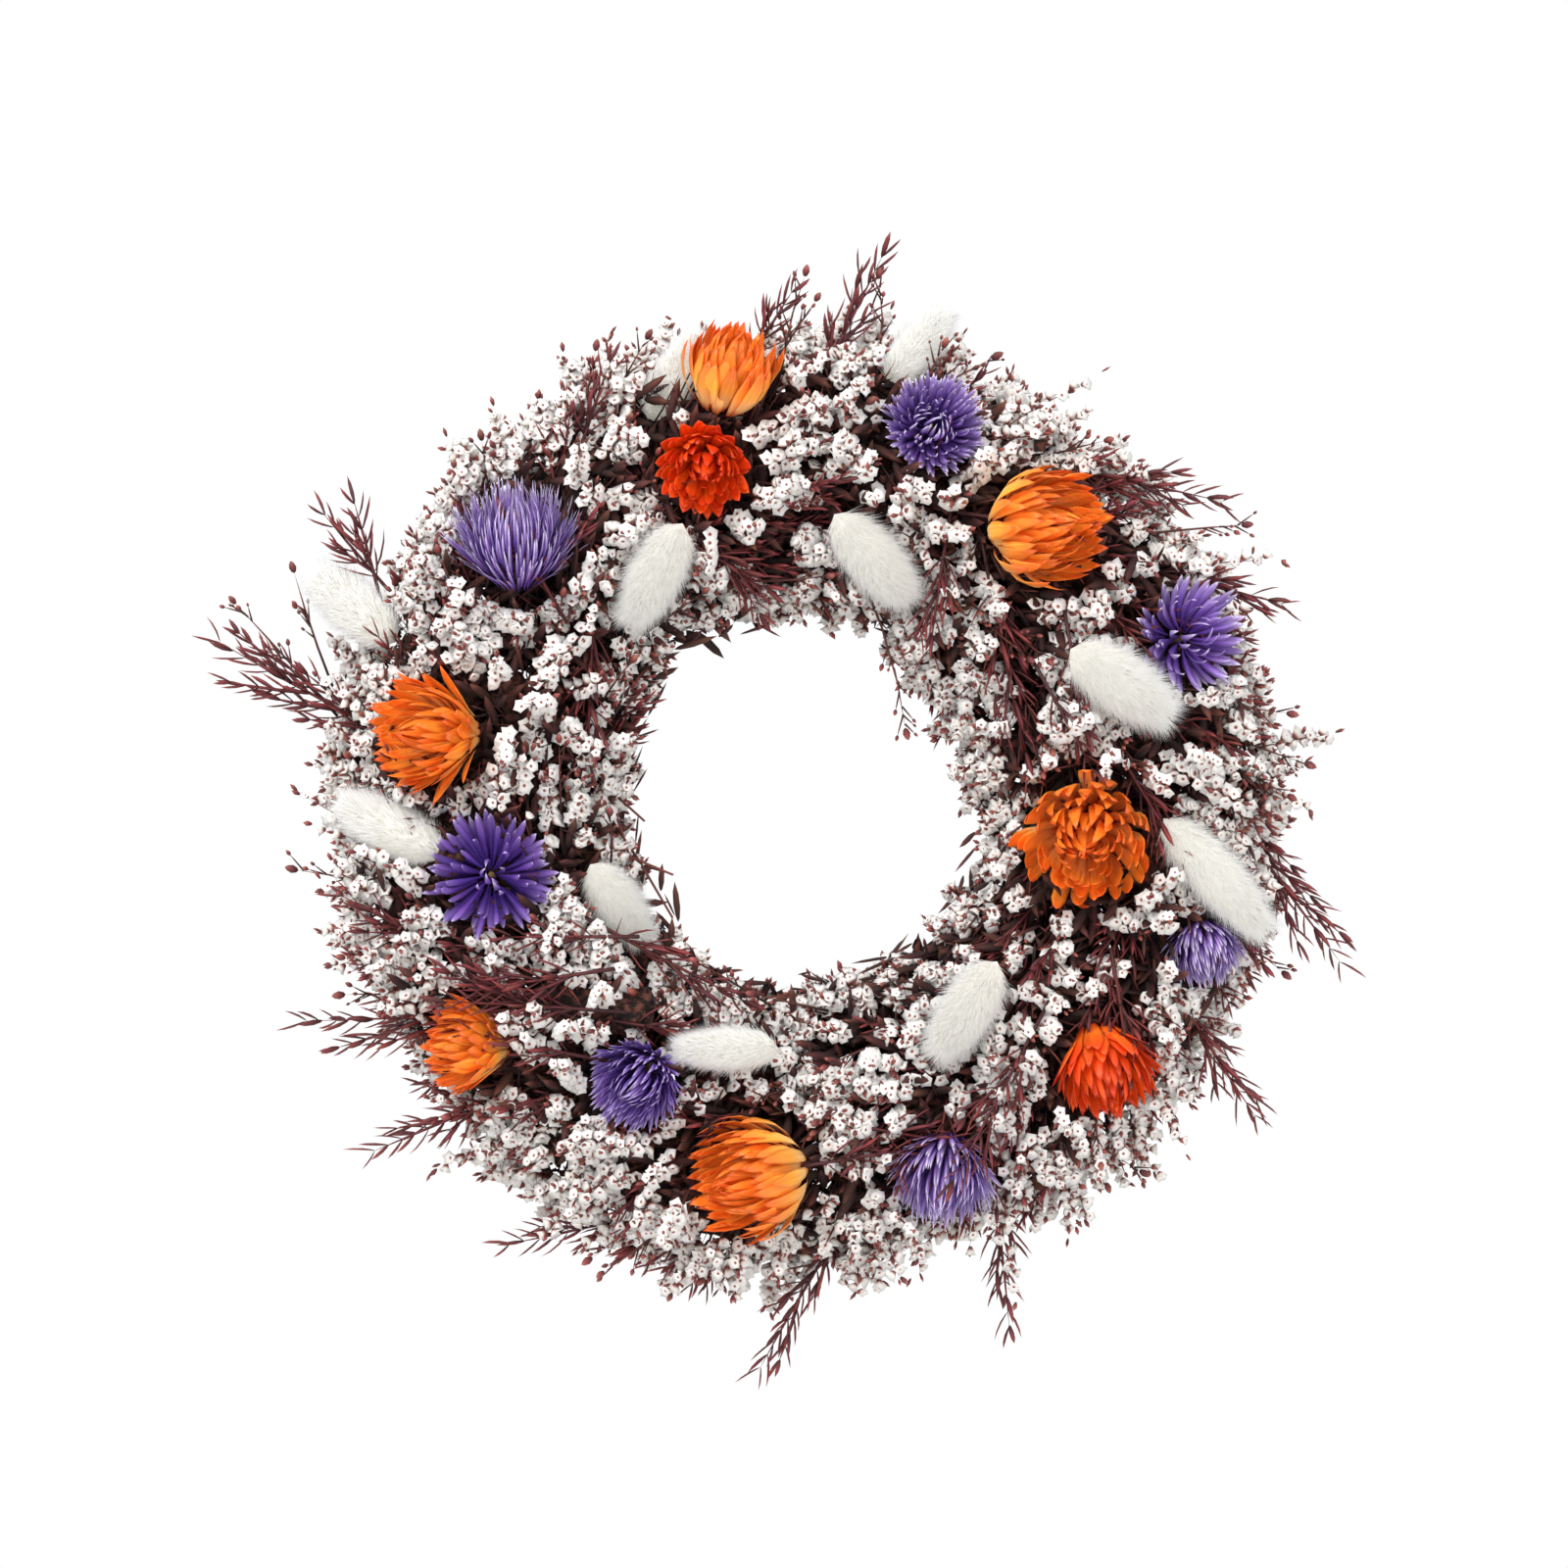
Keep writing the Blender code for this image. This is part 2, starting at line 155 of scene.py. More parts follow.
def roughen(piece, size, height, middle=0.5):
    """Displaces a piece by a cloud pattern of that size, in metres."""
    pattern = bpy.data.textures.new(f"{piece.name}_relief", "CLOUDS")
    pattern.noise_scale = size
    pattern.noise_depth = 2
    relief = piece.modifiers.new("relief", "DISPLACE")
    relief.texture = pattern
    relief.texture_coords = "LOCAL"
    relief.strength = height
    relief.mid_level = middle


corners = np.array([[list(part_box(name)[side]) for side in (0, 1)] for name in STRANDS])
hoop_low, hoop_high = corners[:, 0].min(0), corners[:, 1].max(0)
HOOP_CENTRE = (hoop_low + hoop_high) / 2
BUNDLE_RADIUS = (hoop_high[1] - hoop_low[1]) / 2
HOOP_RADIUS = (hoop_high[0] - hoop_low[0]) / 2 - BUNDLE_RADIUS


def hoop_point(clock, outwards, forwards):
    """Places by clock angle in degrees, outwards and forwards of the middle of the vine."""
    angle = np.radians(clock)
    reach = HOOP_RADIUS + np.asarray(outwards)
    spot = [reach * np.sin(angle), -np.asarray(forwards) + 0 * angle, reach * np.cos(angle)]
    return HOOP_CENTRE + np.stack(spot, -1)


def on_hoop(points):
    """(clock in degrees, outwards, forwards) of places."""
    offset = points - HOOP_CENTRE
    clock = np.degrees(np.arctan2(offset[..., 0], offset[..., 2])) % 360
    return clock, np.hypot(offset[..., 0], offset[..., 2]) - HOOP_RADIUS, -offset[..., 1]


def outward(clock):
    angle = np.radians(clock)
    return np.stack([np.sin(angle), 0 * angle, np.cos(angle)], -1)


def onward(clock):
    """The clockwise direction along the hoop."""
    angle = np.radians(clock)
    return np.stack([np.cos(angle), 0 * angle, -np.sin(angle)], -1)


FORWARD = np.array([0.0, -1.0, 0.0])

# The furrows follow an attribute that runs along each strand and round it.
bark, tree, shader = new_material("dried_vine_bark", Roughness=0.9)
grain = add_node(tree, "ShaderNodeAttribute", attribute_name="grain")
stretch = add_node(
    tree,
    "ShaderNodeMapping",
    {
        "Vector": grain.outputs["Vector"],
        "Scale": (1 / FURROW_LENGTH, 1 / FURROW_WIDTH, 1 / FURROW_WIDTH),
    },
)
furrows = add_node(
    tree, "ShaderNodeTexNoise", {"Vector": stretch.outputs["Vector"], "Scale": 1.0, "Detail": 4.0}
)
shades = add_node(
    tree,
    "ShaderNodeValToRGB",
    {"Fac": furrows.outputs["Fac"]},
    stops=[(0.36, BARK_LOW), (0.68, BARK_HIGH)],
)
relief = add_node(
    tree, "ShaderNodeBump", {"Height": furrows.outputs["Fac"], "Distance": FURROW_DEPTH}
)
tree.links.new(shades.outputs["Color"], shader.inputs["Base Color"])
tree.links.new(relief.outputs["Normal"], shader.inputs["Normal"])

for name in STRANDS:
    strand = merged_copy(name, f"{name}_bark")
    clock, outwards, forwards = on_hoop(spots_of(strand.data))
    ring = np.round(clock * STRAND_RINGS / 360).astype(int) % STRAND_RINGS
    section = np.stack([outwards, forwards], -1)
    middles = np.array([section[ring == i].mean(0) for i in range(STRAND_RINGS)])
    around = section - middles[ring]
    along = np.abs(clock - 180) * np.radians(1) * HOOP_RADIUS
    lines = strand.data.attributes.new("grain", "FLOAT_VECTOR", "POINT")
    lines.data.foreach_set("vector", np.column_stack([along, around]).ravel())
    refine(strand, 2)
    roughen(strand, KNOB_SPACING, KNOB_HEIGHT)
    dress(strand, bark, stands_for=[name])


# ------------------------ wires
# The binding is annealed iron florist's wire, dull and dark, wound round the vine. The hanger
# and its loop are galvanised steel wire, pale grey with a faint mottled shine.
IRON = "3B3632"
ZINC_LOW = "8C8F91"
ZINC_HIGH = "C2C5C7"
SPANGLE_SIZE = 3 * MM
HULL_STEP = 5  # degrees between the sides of the vine's taut outline
GRAZING = 0.2  # cosine under which a side of that outline doesn't hold the wire
WIRE_BED = 0.9 * MM  # from the vine to the middle of the wire


def mottled(name, size, detail, stops, **values):
    """A material whose colour follows a cloud pattern of that size, in metres."""
    made, tree, shader = new_material(name, **values)
    place = add_node(tree, "ShaderNodeTexCoord")
    clouds = add_node(
        tree,
        "ShaderNodeTexNoise",
        {"Vector": place.outputs["Object"], "Scale": 1 / size, "Detail": detail},
    )
    shades = add_node(tree, "ShaderNodeValToRGB", {"Fac": clouds.outputs["Fac"]}, stops=stops)
    tree.links.new(shades.outputs["Color"], shader.inputs["Base Color"])
    return made


def pull_tight(wire):
    """Draws a wire that is wound round the vine in to it, straight where it bridges strands."""
    clock, outwards, forwards = on_hoop(spots_of(wire.data))
    turn, reach = np.arctan2(forwards, outwards), np.hypot(outwards, forwards)
    vine = np.vstack([spots_of(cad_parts[name].data) for name in STRANDS])
    vine_clock, vine_out, vine_fore = on_hoop(vine)
    ring = np.round(vine_clock * STRAND_RINGS / 360) % STRAND_RINGS
    sides = np.radians(np.arange(0, 360, HULL_STEP))
    spread = np.outer(vine_out, np.cos(sides)) + np.outer(vine_fore, np.sin(sides))
    hulls = np.array([spread[ring == i].max(0) for i in range(STRAND_RINGS)])
    place = clock * STRAND_RINGS / 360
    before = np.floor(place).astype(int) % STRAND_RINGS
    share = (place % 1)[:, None]
    hull = hulls[before] * (1 - share) + hulls[(before + 1) % STRAND_RINGS] * share
    facing = np.cos(turn[:, None] - sides)
    held = np.where(facing > GRAZING, hull / np.maximum(facing, GRAZING), np.inf).min(1)
    slack = np.maximum(0, np.median(reach) - held - WIRE_BED)
    tight = reach - slack
    moved = hoop_point(clock, tight * np.cos(turn), tight * np.sin(turn))
    wire.data.vertices.foreach_set("co", moved.astype(np.float32).ravel())


iron = new_material(
    "annealed_iron_wire", Base_Color=colour(IRON), Metallic=0.85, Roughness=0.5
)[0]
zinc_shades = [(0.4, ZINC_LOW), (0.65, ZINC_HIGH)]
zinc = mottled("galvanised_steel_wire", SPANGLE_SIZE, 2.0, zinc_shades, Metallic=1.0, Roughness=0.36)
for node, look, slot, body in (
    ("binding_wire", iron, "iron_wire", "wreath"),
    ("hanger_bar", zinc, "galvanised_wire", "wreath"),
    ("hanging_loop", zinc, "galvanised_wire", "loop"),
):
    wire = merged_copy(node, f"{node}_round")
    if node == "binding_wire":
        pull_tight(wire)
    refine(wire, 2)
    dress(wire, look, body, stands_for=[node])


# ------------------------ strawflowers
# Dried strawflower heads: stiff papery bracts in overlapping rows round a closed heart, wide
# and pointed on the orange ones, narrow and dense on the purple ones, each on a short stem.
HEAD_STEM_LENGTH = 7 * MM
HEAD_WIDEST = 0.543  # share of a head's height where it is widest
BANDS = 48  # tints that the copies of one small shape share out
MAP_TURN = 0.4  # radians by which the map's fold misses the shape's corners
BRACT_RINGS = [(0.03, 0.16), (0.2, 0.34), (0.45, 0.5), (0.68, 0.47), (0.86, 0.27)]
BRACT_CUP = 0.35
RING_CORNERS = 8
RING_SLACK = 0.05 * MM
# A plan says how a head's bracts lie: "opening" in degrees from its lowest row to its heart,
# "loose" as the scatter of that, "spread" as how far they open past the solid head.
ORANGE = {
    "rows": 9, "per_row": 16, "wide": 5.6 * MM, "opening": (16, 88), "loose": 11, "spread": 1.22
}  # fmt: skip
CUPPED_ORANGE = ORANGE | {"opening": (38, 88), "loose": 9, "spread": 1.34, "flare": 0.0}
PURPLE = {
    "rows": 13, "per_row": 25, "wide": 1.9 * MM, "opening": (2, 86), "loose": 10, "spread": 1.1
}  # fmt: skip
FAN_PURPLE = {
    "rows": 15, "per_row": 34, "wide": 1.1 * MM, "opening": (8, 84), "loose": 12, "spread": 1.34
}  # fmt: skip
OPEN_PURPLE = {
    "rows": 8, "per_row": 15, "wide": 3.0 * MM, "opening": (-20, 76), "loose": 16, "spread": 1.15
}  # fmt: skip
CUPPED_HEADS = [f"orange_strawflower_{number}" for number in (1, 3, 4, 6)]
FAN_HEADS = ("purple_strawflower_1",)
OPEN_HEADS = ("purple_strawflower_3", "purple_strawflower_7")
DARK_HEADS = ("purple_strawflower_6", "purple_strawflower_7")
RED_HEADS = ("orange_strawflower_2", "orange_strawflower_5")
HEADS = (
    [(f"orange_strawflower_{number}", "orange_bracts") for number in range(1, 9)]
    + [(f"purple_strawflower_{number}", "purple_bracts") for number in range(1, 8)]
)
HEAD_STALK = 2.4 * MM
ROW_TURN = 40  # radians over a head's rows, so that no two rows line up
BRACT_GLOW = 0.04  # stands for the light that comes through warm bracts, so shadows stay red


class Shape:
    """A small closed shape on its root, 1 long towards +Z and 1 wide, and its place on the map."""

    def __init__(self, bm, along=None):
        bmesh.ops.triangulate(bm, faces=bm.faces)
        bmesh.ops.recalc_face_normals(bm, faces=bm.faces)
        bm.verts.index_update()
        self.points = np.array([vertex.co for vertex in bm.verts])
        self.faces = np.array([[vertex.index for vertex in face.verts] for face in bm.faces])
        bm.free()
        reach = np.hypot(self.points[:, 0], self.points[:, 1])
        turn = np.arctan2(self.points[:, 1], self.points[:, 0]) - MAP_TURN
        share = np.abs((turn + math.pi) % math.tau - math.pi) / math.pi
        across = share[self.faces]
        poles = (reach < 1e-5)[self.faces]
        middle = (across * ~poles).sum(1) / np.maximum((~poles).sum(1), 1)
        across = np.where(poles, middle[:, None], across)
        heights = self.points[:, 2] if along is None else along(self.points)
        self.map = np.stack([0.01 + 0.98 * heights[self.faces], 0.1 + 0.8 * across], -1)


def spindle(sides, rings, cup=0.0):
    """A closed spindle, cupped towards +Y by cup. Rings are (height, half width)."""
    bm = bmesh.new()
    profile = [(0.0, 0.0), *rings, (1.0, 0.0)]
    spots = [bm.verts.new((half, 0, height)) for height, half in profile]
    edges = [bm.edges.new(pair) for pair in zip(spots, spots[1:], strict=False)]
    bmesh.ops.spin(
        bm, geom=spots + edges, axis=(0, 0, 1), angle=math.tau, steps=sides, use_merge=True
    )
    bmesh.ops.remove_doubles(bm, verts=bm.verts, dist=1e-4)
    for vertex in bm.verts:
        vertex.co.y = vertex.co.y * (1 - cup) + cup * 4 * vertex.co.x**2
    return Shape(bm)


def unit(vectors):
    return vectors / np.maximum(np.linalg.norm(vectors, axis=-1, keepdims=True), 1e-9)


class Gathering:
    """Copies of small shapes, gathered into the mesh of one piece."""

    def __init__(self):
        self.points, self.faces, self.maps, self.total = [], [], [], 0

    def add(self, shape, roots, reaches, widths, thicks, facing, bends=0.0):
        """Sets a copy at each root. It reaches along a vector, and its +Y side turns to facing.
        The bend is added along the copy by the square of its length."""
        roots = np.atleast_2d(roots)
        count = len(roots)
        if not count:
            return
        reaches = np.broadcast_to(reaches, (count, 3))
        ahead = unit(reaches)
        facing = np.broadcast_to(facing, (count, 3)) + 1e-5
        across = unit(np.cross(facing, ahead))
        over = np.cross(ahead, across)
        across = across * np.broadcast_to(widths, count)[:, None]
        over = over * np.broadcast_to(thicks, count)[:, None]
        bends = np.broadcast_to(bends, (count, 3))
        x, y, z = (shape.points[None, :, axis, None] for axis in range(3))
        spots = roots[:, None] + across[:, None] * x + over[:, None] * y
        spots = spots + reaches[:, None] * z + bends[:, None] * z * z
        first = self.total + np.arange(count) * len(shape.points)
        bands = chance.integers(0, BANDS, count)
        spread = np.broadcast_to(shape.map, (count, *shape.map.shape)).copy()
        spread[..., 1] = (spread[..., 1] + bands[:, None, None]) / BANDS
        self.points.append(spots.reshape(-1, 3))
        self.faces.append((shape.faces[None] + first[:, None, None]).reshape(-1, 3))
        self.maps.append(spread.reshape(-1, 2))
        self.total += spots.shape[0] * spots.shape[1]

    def piece(self, name):
        corners = np.concatenate(self.faces).astype(np.int32).ravel()
        mesh = bpy.data.meshes.new(name)
        mesh.vertices.add(self.total)
        mesh.vertices.foreach_set("co", np.concatenate(self.points).astype(np.float32).ravel())
        mesh.loops.add(len(corners))
        mesh.loops.foreach_set("vertex_index", corners)
        mesh.polygons.add(len(corners) // 3)
        mesh.polygons.foreach_set("loop_start", np.arange(0, len(corners), 3, dtype=np.int32))
        mesh.update(calc_edges=True)
        layer = mesh.uv_layers.new(name="OFBake")
        layer.data.foreach_set("uv", np.concatenate(self.maps).astype(np.float32).ravel())
        mesh.shade_smooth()
        return add_object(name, mesh)


def stand(node, widest, stem_length):
    """(start, axis, run, width) of a turned CAD piece past its stem, from its mesh. Its tip is
    the corner that rises most over an even ring of neighbours. Where a neighbour has cut the
    tip off, the foot shows the axis: it is the flat of most corners that all the rest lies
    behind. Widest is the share of the run where the piece is widest."""
    bm = bmesh.new()
    bm.from_mesh(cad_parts[node].data)
    bmesh.ops.remove_doubles(bm, verts=bm.verts, dist=MERGE_DISTANCE)
    spots = np.array([vertex.co for vertex in bm.verts])
    rise, most = RING_SLACK, 0
    for vertex in bm.verts:
        ring = np.array([edge.other_vert(vertex).co for edge in vertex.link_edges])
        place, middle = np.array(vertex.co), ring.mean(0)
        spread = ring - middle
        gaps = np.linalg.norm(spread[:, None] + spread[None], axis=2).min(0)
        height = np.linalg.norm(place - middle)
        if len(ring) == RING_CORNERS and gaps.max() < RING_SLACK and height > rise:
            rise, pole, axis = height, place, (place - middle) / height
    for face in bm.faces if rise == RING_SLACK else []:
        ahead = (spots - np.array(face.verts[0].co)) @ np.array(face.normal)
        level = spots[ahead > -RING_SLACK]
        if ahead.max() < RING_SLACK and len(level) > most:
            most, pole, axis = len(level), (level.min(0) + level.max(0)) / 2, -np.array(face.normal)
    bm.free()
    heights = (spots - pole) @ axis
    reach = np.linalg.norm(spots - pole - heights[:, None] * axis, axis=1)
    waist = heights[reach > reach.max() - RING_SLACK].mean()
    if most == 0:
        run = -waist / (1 - widest)
        return pole - axis * run, axis, run, 2 * reach.max()
    run = (waist - stem_length) / widest
    return pole + axis * stem_length, axis, run, 2 * reach.max()


def sides_of(axis):
    """Two directions square to an axis, the first level with the wreath's plane."""
    side = unit(np.cross(axis, np.array([0.0, 1.0, 0.0])) + 1e-6)
    return side, np.cross(axis, side)


def ranged(tree, value, middle, half, low=0.0, high=1.0):
    """A value between low and high, mapped to half each side of middle."""
    ends = {"From Min": low, "From Max": high, "To Min": middle - half, "To Max": middle + half}
    return add_node(tree, "ShaderNodeMapRange", {"Value": value} | ends).outputs[0]


def tinted(name, stops, shade, streak, **values):
    """A papery or leafy material on the copies' map: a ramp along each copy, a tint of its own
    by the band it lies in (shade is how far they differ), and streaks along it."""
    made, tree, shader = new_material(name, **values)
    spot = add_node(tree, "ShaderNodeUVMap", uv_map="OFBake")
    parts = add_node(tree, "ShaderNodeSeparateXYZ", {"Vector": spot.outputs["UV"]})
    scaled = add_node(
        tree, "ShaderNodeMath", {0: parts.outputs["Y"], 1: float(BANDS)}, operation="MULTIPLY"
    )
    band = add_node(tree, "ShaderNodeMath", {0: scaled.outputs[0]}, operation="FLOOR")
    own = add_node(
        tree, "ShaderNodeTexWhiteNoise", {"W": band.outputs[0]}, noise_dimensions="1D"
    )
    ramp = add_node(tree, "ShaderNodeValToRGB", {"Fac": parts.outputs["X"]}, stops=stops)
    stretch = add_node(
        tree, "ShaderNodeMapping", {"Vector": spot.outputs["UV"], "Scale": (2.5, 9.0 * BANDS, 1.0)}
    )
    lines = add_node(
        tree, "ShaderNodeTexNoise", {"Vector": stretch.outputs["Vector"], "Scale": 1.0, "Detail": 2.0}
    )
    bright = ranged(tree, own.outputs["Value"], 1, shade)
    streaked = ranged(tree, lines.outputs["Fac"], 1, streak, 0.3, 0.7)
    both = add_node(tree, "ShaderNodeMath", {0: bright, 1: streaked}, operation="MULTIPLY")
    hue = ranged(tree, own.outputs["Color"], 0.5, 0.03 * shade)
    shades = add_node(
        tree,
        "ShaderNodeHueSaturation",
        {"Hue": hue, "Value": both.outputs[0], "Color": ramp.outputs["Color"]},
    )
    tree.links.new(shades.outputs["Color"], shader.inputs["Base Color"])
    return made


bract = spindle(6, BRACT_RINGS, cup=BRACT_CUP)
narrow_bract = spindle(4, BRACT_RINGS, cup=0.2)


def bract_paper(name, stops, shade=0.25, streak=0.16, glow="FFFFFF", strength=0.0):
    """Dyed dried bracts: stiff and papery with a satin shine, coloured along each bract by a ramp, the
    purple ones paler towards their thin tips; a strength above nought adds a glow of the glow colour.
    """
    return tinted(
        name,
        stops,
        shade,
        streak,
        Roughness=0.42,
        IOR=1.45,
        Specular_IOR_Level=0.5,
        Emission_Color=colour(glow),
        Emission_Strength=strength,
    )


# On the orange bracts the pale peach stop at 0.25 is a painted highlight; the other stops are the dye.
orange_dye_and_highlight = [(0.0, "DC4A10"), (0.25, "FFCE84"), (0.55, "FFA63C"), (1.0, "EC5A0C")]
red_shades = [(0.0, "B02A08"), (0.35, "F8701E"), (0.65, "EE5212"), (1.0, "D83C08")]
purple_shades = [(0.0, "4E2C8C"), (0.4, "8058B6"), (0.72, "AE90D6"), (1.0, "E8DEF6")]
violet_shades = [(0.0, "442488"), (0.4, "6A46A6"), (0.75, "9472C4"), (1.0, "D0C0EA")]
orange_paper = bract_paper("dyed_orange_bract", orange_dye_and_highlight, 0.26, 0.2, "F04A0C", BRACT_GLOW)
red_paper = bract_paper("dyed_red_orange_bract", red_shades, 0.22, 0.16, "E03008", BRACT_GLOW)
purple_paper = bract_paper("dyed_purple_bract", purple_shades)
violet_paper = bract_paper("dyed_violet_bract", violet_shades)
dry_stem = tinted("dried_stem", [(0.0, "4B3A22"), (1.0, "6E5430")], 0.25, 0.2, Roughness=0.8)


def bract_row(head, centre, axis, radius, rise, share, plan, shape):
    """One row of bracts. Share is 0 for the lowest, widest row and 1 for the heart."""
    count = max(4, round(plan["per_row"] * (1 - 0.55 * share)))
    opening = plan["opening"]
    side, up = sides_of(axis)
    turns = (np.arange(count) + chance.uniform(-0.28, 0.28, count)) * math.tau / count
    turns = turns + share * ROW_TURN
    out = np.cos(turns)[:, None] * side + np.sin(turns)[:, None] * up
    tilt = np.radians(opening[0] + (opening[1] - opening[0]) * share)
    tilt = tilt + np.radians(chance.uniform(-1, 1, count) * plan["loose"])
    grow = chance.uniform(0.84, 1.1, count)
    tips = centre + (radius * np.cos(tilt) * grow)[:, None] * out
    tips = tips + (rise * np.sin(tilt) * grow)[:, None] * axis
    roots = centre + (0.3 * (1 - share) + 0.05) * radius * out
    roots = roots - (0.9 - 0.5 * share) * rise * axis
    curl = (0.62 - plan.get("flare", 0.8) * (1 - share) ** 4) * radius * chance.uniform(0.7, 1.3, count)
    bends = -curl[:, None] * out + 0.1 * rise * axis * (1 - share)
    reaches = tips - roots - bends
    widths = plan["wide"] * (1 - 0.45 * share) * chance.uniform(0.8, 1.15, count)
    head.add(shape, roots, reaches, widths, widths * 0.16, -out, bends)


head_stems = Gathering()
stalk = spindle(6, [(0.0, 0.5), (0.5, 0.46), (1.0, 0.4)])
heads = []
for node, slot in HEADS:
    start, axis, run, width = stand(node, HEAD_WIDEST, HEAD_STEM_LENGTH)
    rise = run / 2
    centre = start + axis * rise
    head = Gathering()
    if slot == "orange_bracts":
        plan, shape = CUPPED_ORANGE if node in CUPPED_HEADS else ORANGE, bract
        look = red_paper if node in RED_HEADS else orange_paper
    else:
        plan, shape = PURPLE, narrow_bract
        look = violet_paper if node in DARK_HEADS else purple_paper
        if node in OPEN_HEADS:
            plan = OPEN_PURPLE
        elif node in FAN_HEADS:
            plan = FAN_PURPLE
    radius = width / 2 * plan["spread"]
    heads.append((centre, radius))
    for row in range(plan["rows"]):
        share = row / (plan["rows"] - 1)
        bract_row(head, centre, axis, radius, rise * plan["spread"] ** 0.5, share, plan, shape)
    dress(head.piece(f"{node}_bracts"), look, stands_for=[node])
    stem_reach = axis * (HEAD_STEM_LENGTH + 0.4 * rise)
    stem_foot = start - axis * HEAD_STEM_LENGTH
    head_stems.add(stalk, stem_foot, stem_reach, HEAD_STALK, HEAD_STALK, FORWARD)
dress(head_stems.piece("strawflower_stems"), dry_stem)


# ------------------------ bunny tails
# Bleached hare's-tail grass: a soft ovoid plume of fine, cream-white hairs that lie up towards
# its tip, on a thin straw that is not drawn here.
TAIL_STEM_LENGTH = 14 * MM
TAIL_WIDEST = 0.52
TAIL_HAIRS = 5200
HAIR_LENGTH = 7.2 * MM
HAIR_WIDTH = 0.22 * MM
PLUME_CORE = 0.72  # share of the plume's width that is solid under the hairs
PLUME_FOOT = 0.04
PLUME_RUN = 0.86
PLUME_WIDTH = 18 * MM  # of the plume whose hairs have just the length above
PLUME_FULLNESS = [(0.05, 0.2), (0.14, 0.36), (0.32, 0.47), (0.52, 0.48), (0.72, 0.38), (0.9, 0.2)]

bm = bmesh.new()
bmesh.ops.create_cone(bm, cap_ends=True, segments=3, radius1=0.5, radius2=0, depth=1)
bmesh.ops.translate(bm, verts=bm.verts, vec=(0, 0, 0.5))
hair = Shape(bm)
plume = spindle(16, PLUME_FULLNESS)
down = tinted(
    "bleached_grass_down",
    [(0.0, "F2EEDF"), (0.4, "FCFAF2"), (1.0, "FFFFFC")],
    0.03,
    0.02,
    Roughness=0.85,
    Sheen_Weight=0.8,
    Subsurface_Weight=0.7,
    Subsurface_Radius=(1.0, 0.97, 0.9),
    Subsurface_Scale=0.006,
    # The faint white emission is a painted glow that lifts the shade among the hairs.
    Emission_Color=colour("FFFDF6"),
    Emission_Strength=0.14,
)
TAILS = [f"bunny_tail_{number:02d}" for number in range(1, 12)]
heights, halves = zip(*PLUME_FULLNESS, strict=True)
tails = []
for node in TAILS:
    start, axis, run, width = stand(node, TAIL_WIDEST, TAIL_STEM_LENGTH)
    side, up = sides_of(axis)
    tails.append((start, axis, run, width))
    tail = Gathering()
    core = width * PLUME_CORE
    tail.add(plume, start + axis * run * PLUME_FOOT, axis * run * PLUME_RUN, core, core, side)
    share = chance.uniform(0.02, 0.96, TAIL_HAIRS) ** 0.95
    half = np.interp(share, (0.0, *heights, 1.0), (0.0, *halves, 0.0)) * width * PLUME_CORE
    turn = chance.uniform(0, math.tau, TAIL_HAIRS)
    out = np.cos(turn)[:, None] * side + np.sin(turn)[:, None] * up
    roots = start + axis * run * (PLUME_FOOT + PLUME_RUN * share[:, None]) + out * half[:, None] * 0.94
    lie = out * (0.62 + 0.1 * share[:, None]) + axis * (0.7 + 0.5 * share[:, None])
    lie = unit(lie + chance.normal(0, 0.22, (TAIL_HAIRS, 3)))
    lengths = HAIR_LENGTH * chance.uniform(0.6, 1.15, TAIL_HAIRS) * (width / PLUME_WIDTH)
    tail.add(hair, roots, lie * lengths[:, None], HAIR_WIDTH, HAIR_WIDTH, out)
    dress(tail.piece(f"{node}_down"), down, stands_for=[node])


# ------------------------ burgundy foliage
# Dried sprigs with pairs of stiff, narrow leaves along thin twigs, dyed burgundy. Each leaf is nearly
# black at its foot, a painted shade, and redder at its tip, a painted highlight. They are pushed into
# the bunches at a slant.
SPRIG_STEM_LENGTH = 16 * MM
SPRIG_WIDEST = 0.35
LEAF_LENGTH = 14 * MM
LEAF_WIDTH = 1.6 * MM
LEAF_STEP = 4.3 * MM
TWIG_WIDTH = 1.3 * MM
LEAF_SPREAD = 52  # degrees that the leaves stand off a twig, and off a side shoot
SHOOT_SPREAD = 38
SHOOT_AREA = 250 * MM * MM  # of a sprig's outline, for each of its side shoots
EXTRA_WIDTH = 15 * MM
EXTRA_STEM = 12 * MM
SPRIGS = [f"burgundy_sprig_{number:02d}" for number in range(1, 16)]
EXTRA_SPRIGS = [  # clock, outwards mm, forwards mm, heading, length mm
    (226, 53, 30, 247, 42), (353, 56, 26, 29, 26), (297, 66, 24, 319, 30), (297, 68, 26, 346, 27),
    (29, 6, 44, 190, 34), (34, 22, 44, 100, 30), (341, 0, 36, 150, 26), (336, 4, 40, 120, 28),
    (178, 30, 46, 80, 30), (168, 22, 44, 100, 28), (85, 18, 44, 150, 34), (121, 30, 44, 170, 30),
    (226, 11, 49, 275, 46), (229, 18, 47, 290, 38), (232, 5, 50, 262, 34), (222, 24, 46, 280, 34),
    (236, -6, 46, 270, 30), (66, 0, 50, 150, 30), (60, 12, 48, 170, 28),
    (309, 20, 44, 330, 26), (250, 44, 38, 300, 30), (218, 6, 44, 100, 26), (328, 48, 36, 20, 28),
]  # fmt: skip

leaf = spindle(4, [(0.12, 0.3), (0.4, 0.5), (0.72, 0.42)])
twig = spindle(4, [(0.01, 0.5), (0.35, 0.42), (0.7, 0.32)])
# Along each leaf and twig: nearly black at the foot as painted shade, burgundy dye in the middle,
# redder at the tip as painted highlight.
burgundy = tinted(
    "dyed_burgundy_leaf",
    [(0.0, "330F10"), (0.35, "581B1D"), (0.8, "7A2A2B"), (1.0, "90393A")],
    0.4,
    0.2,
    Roughness=0.6,
)


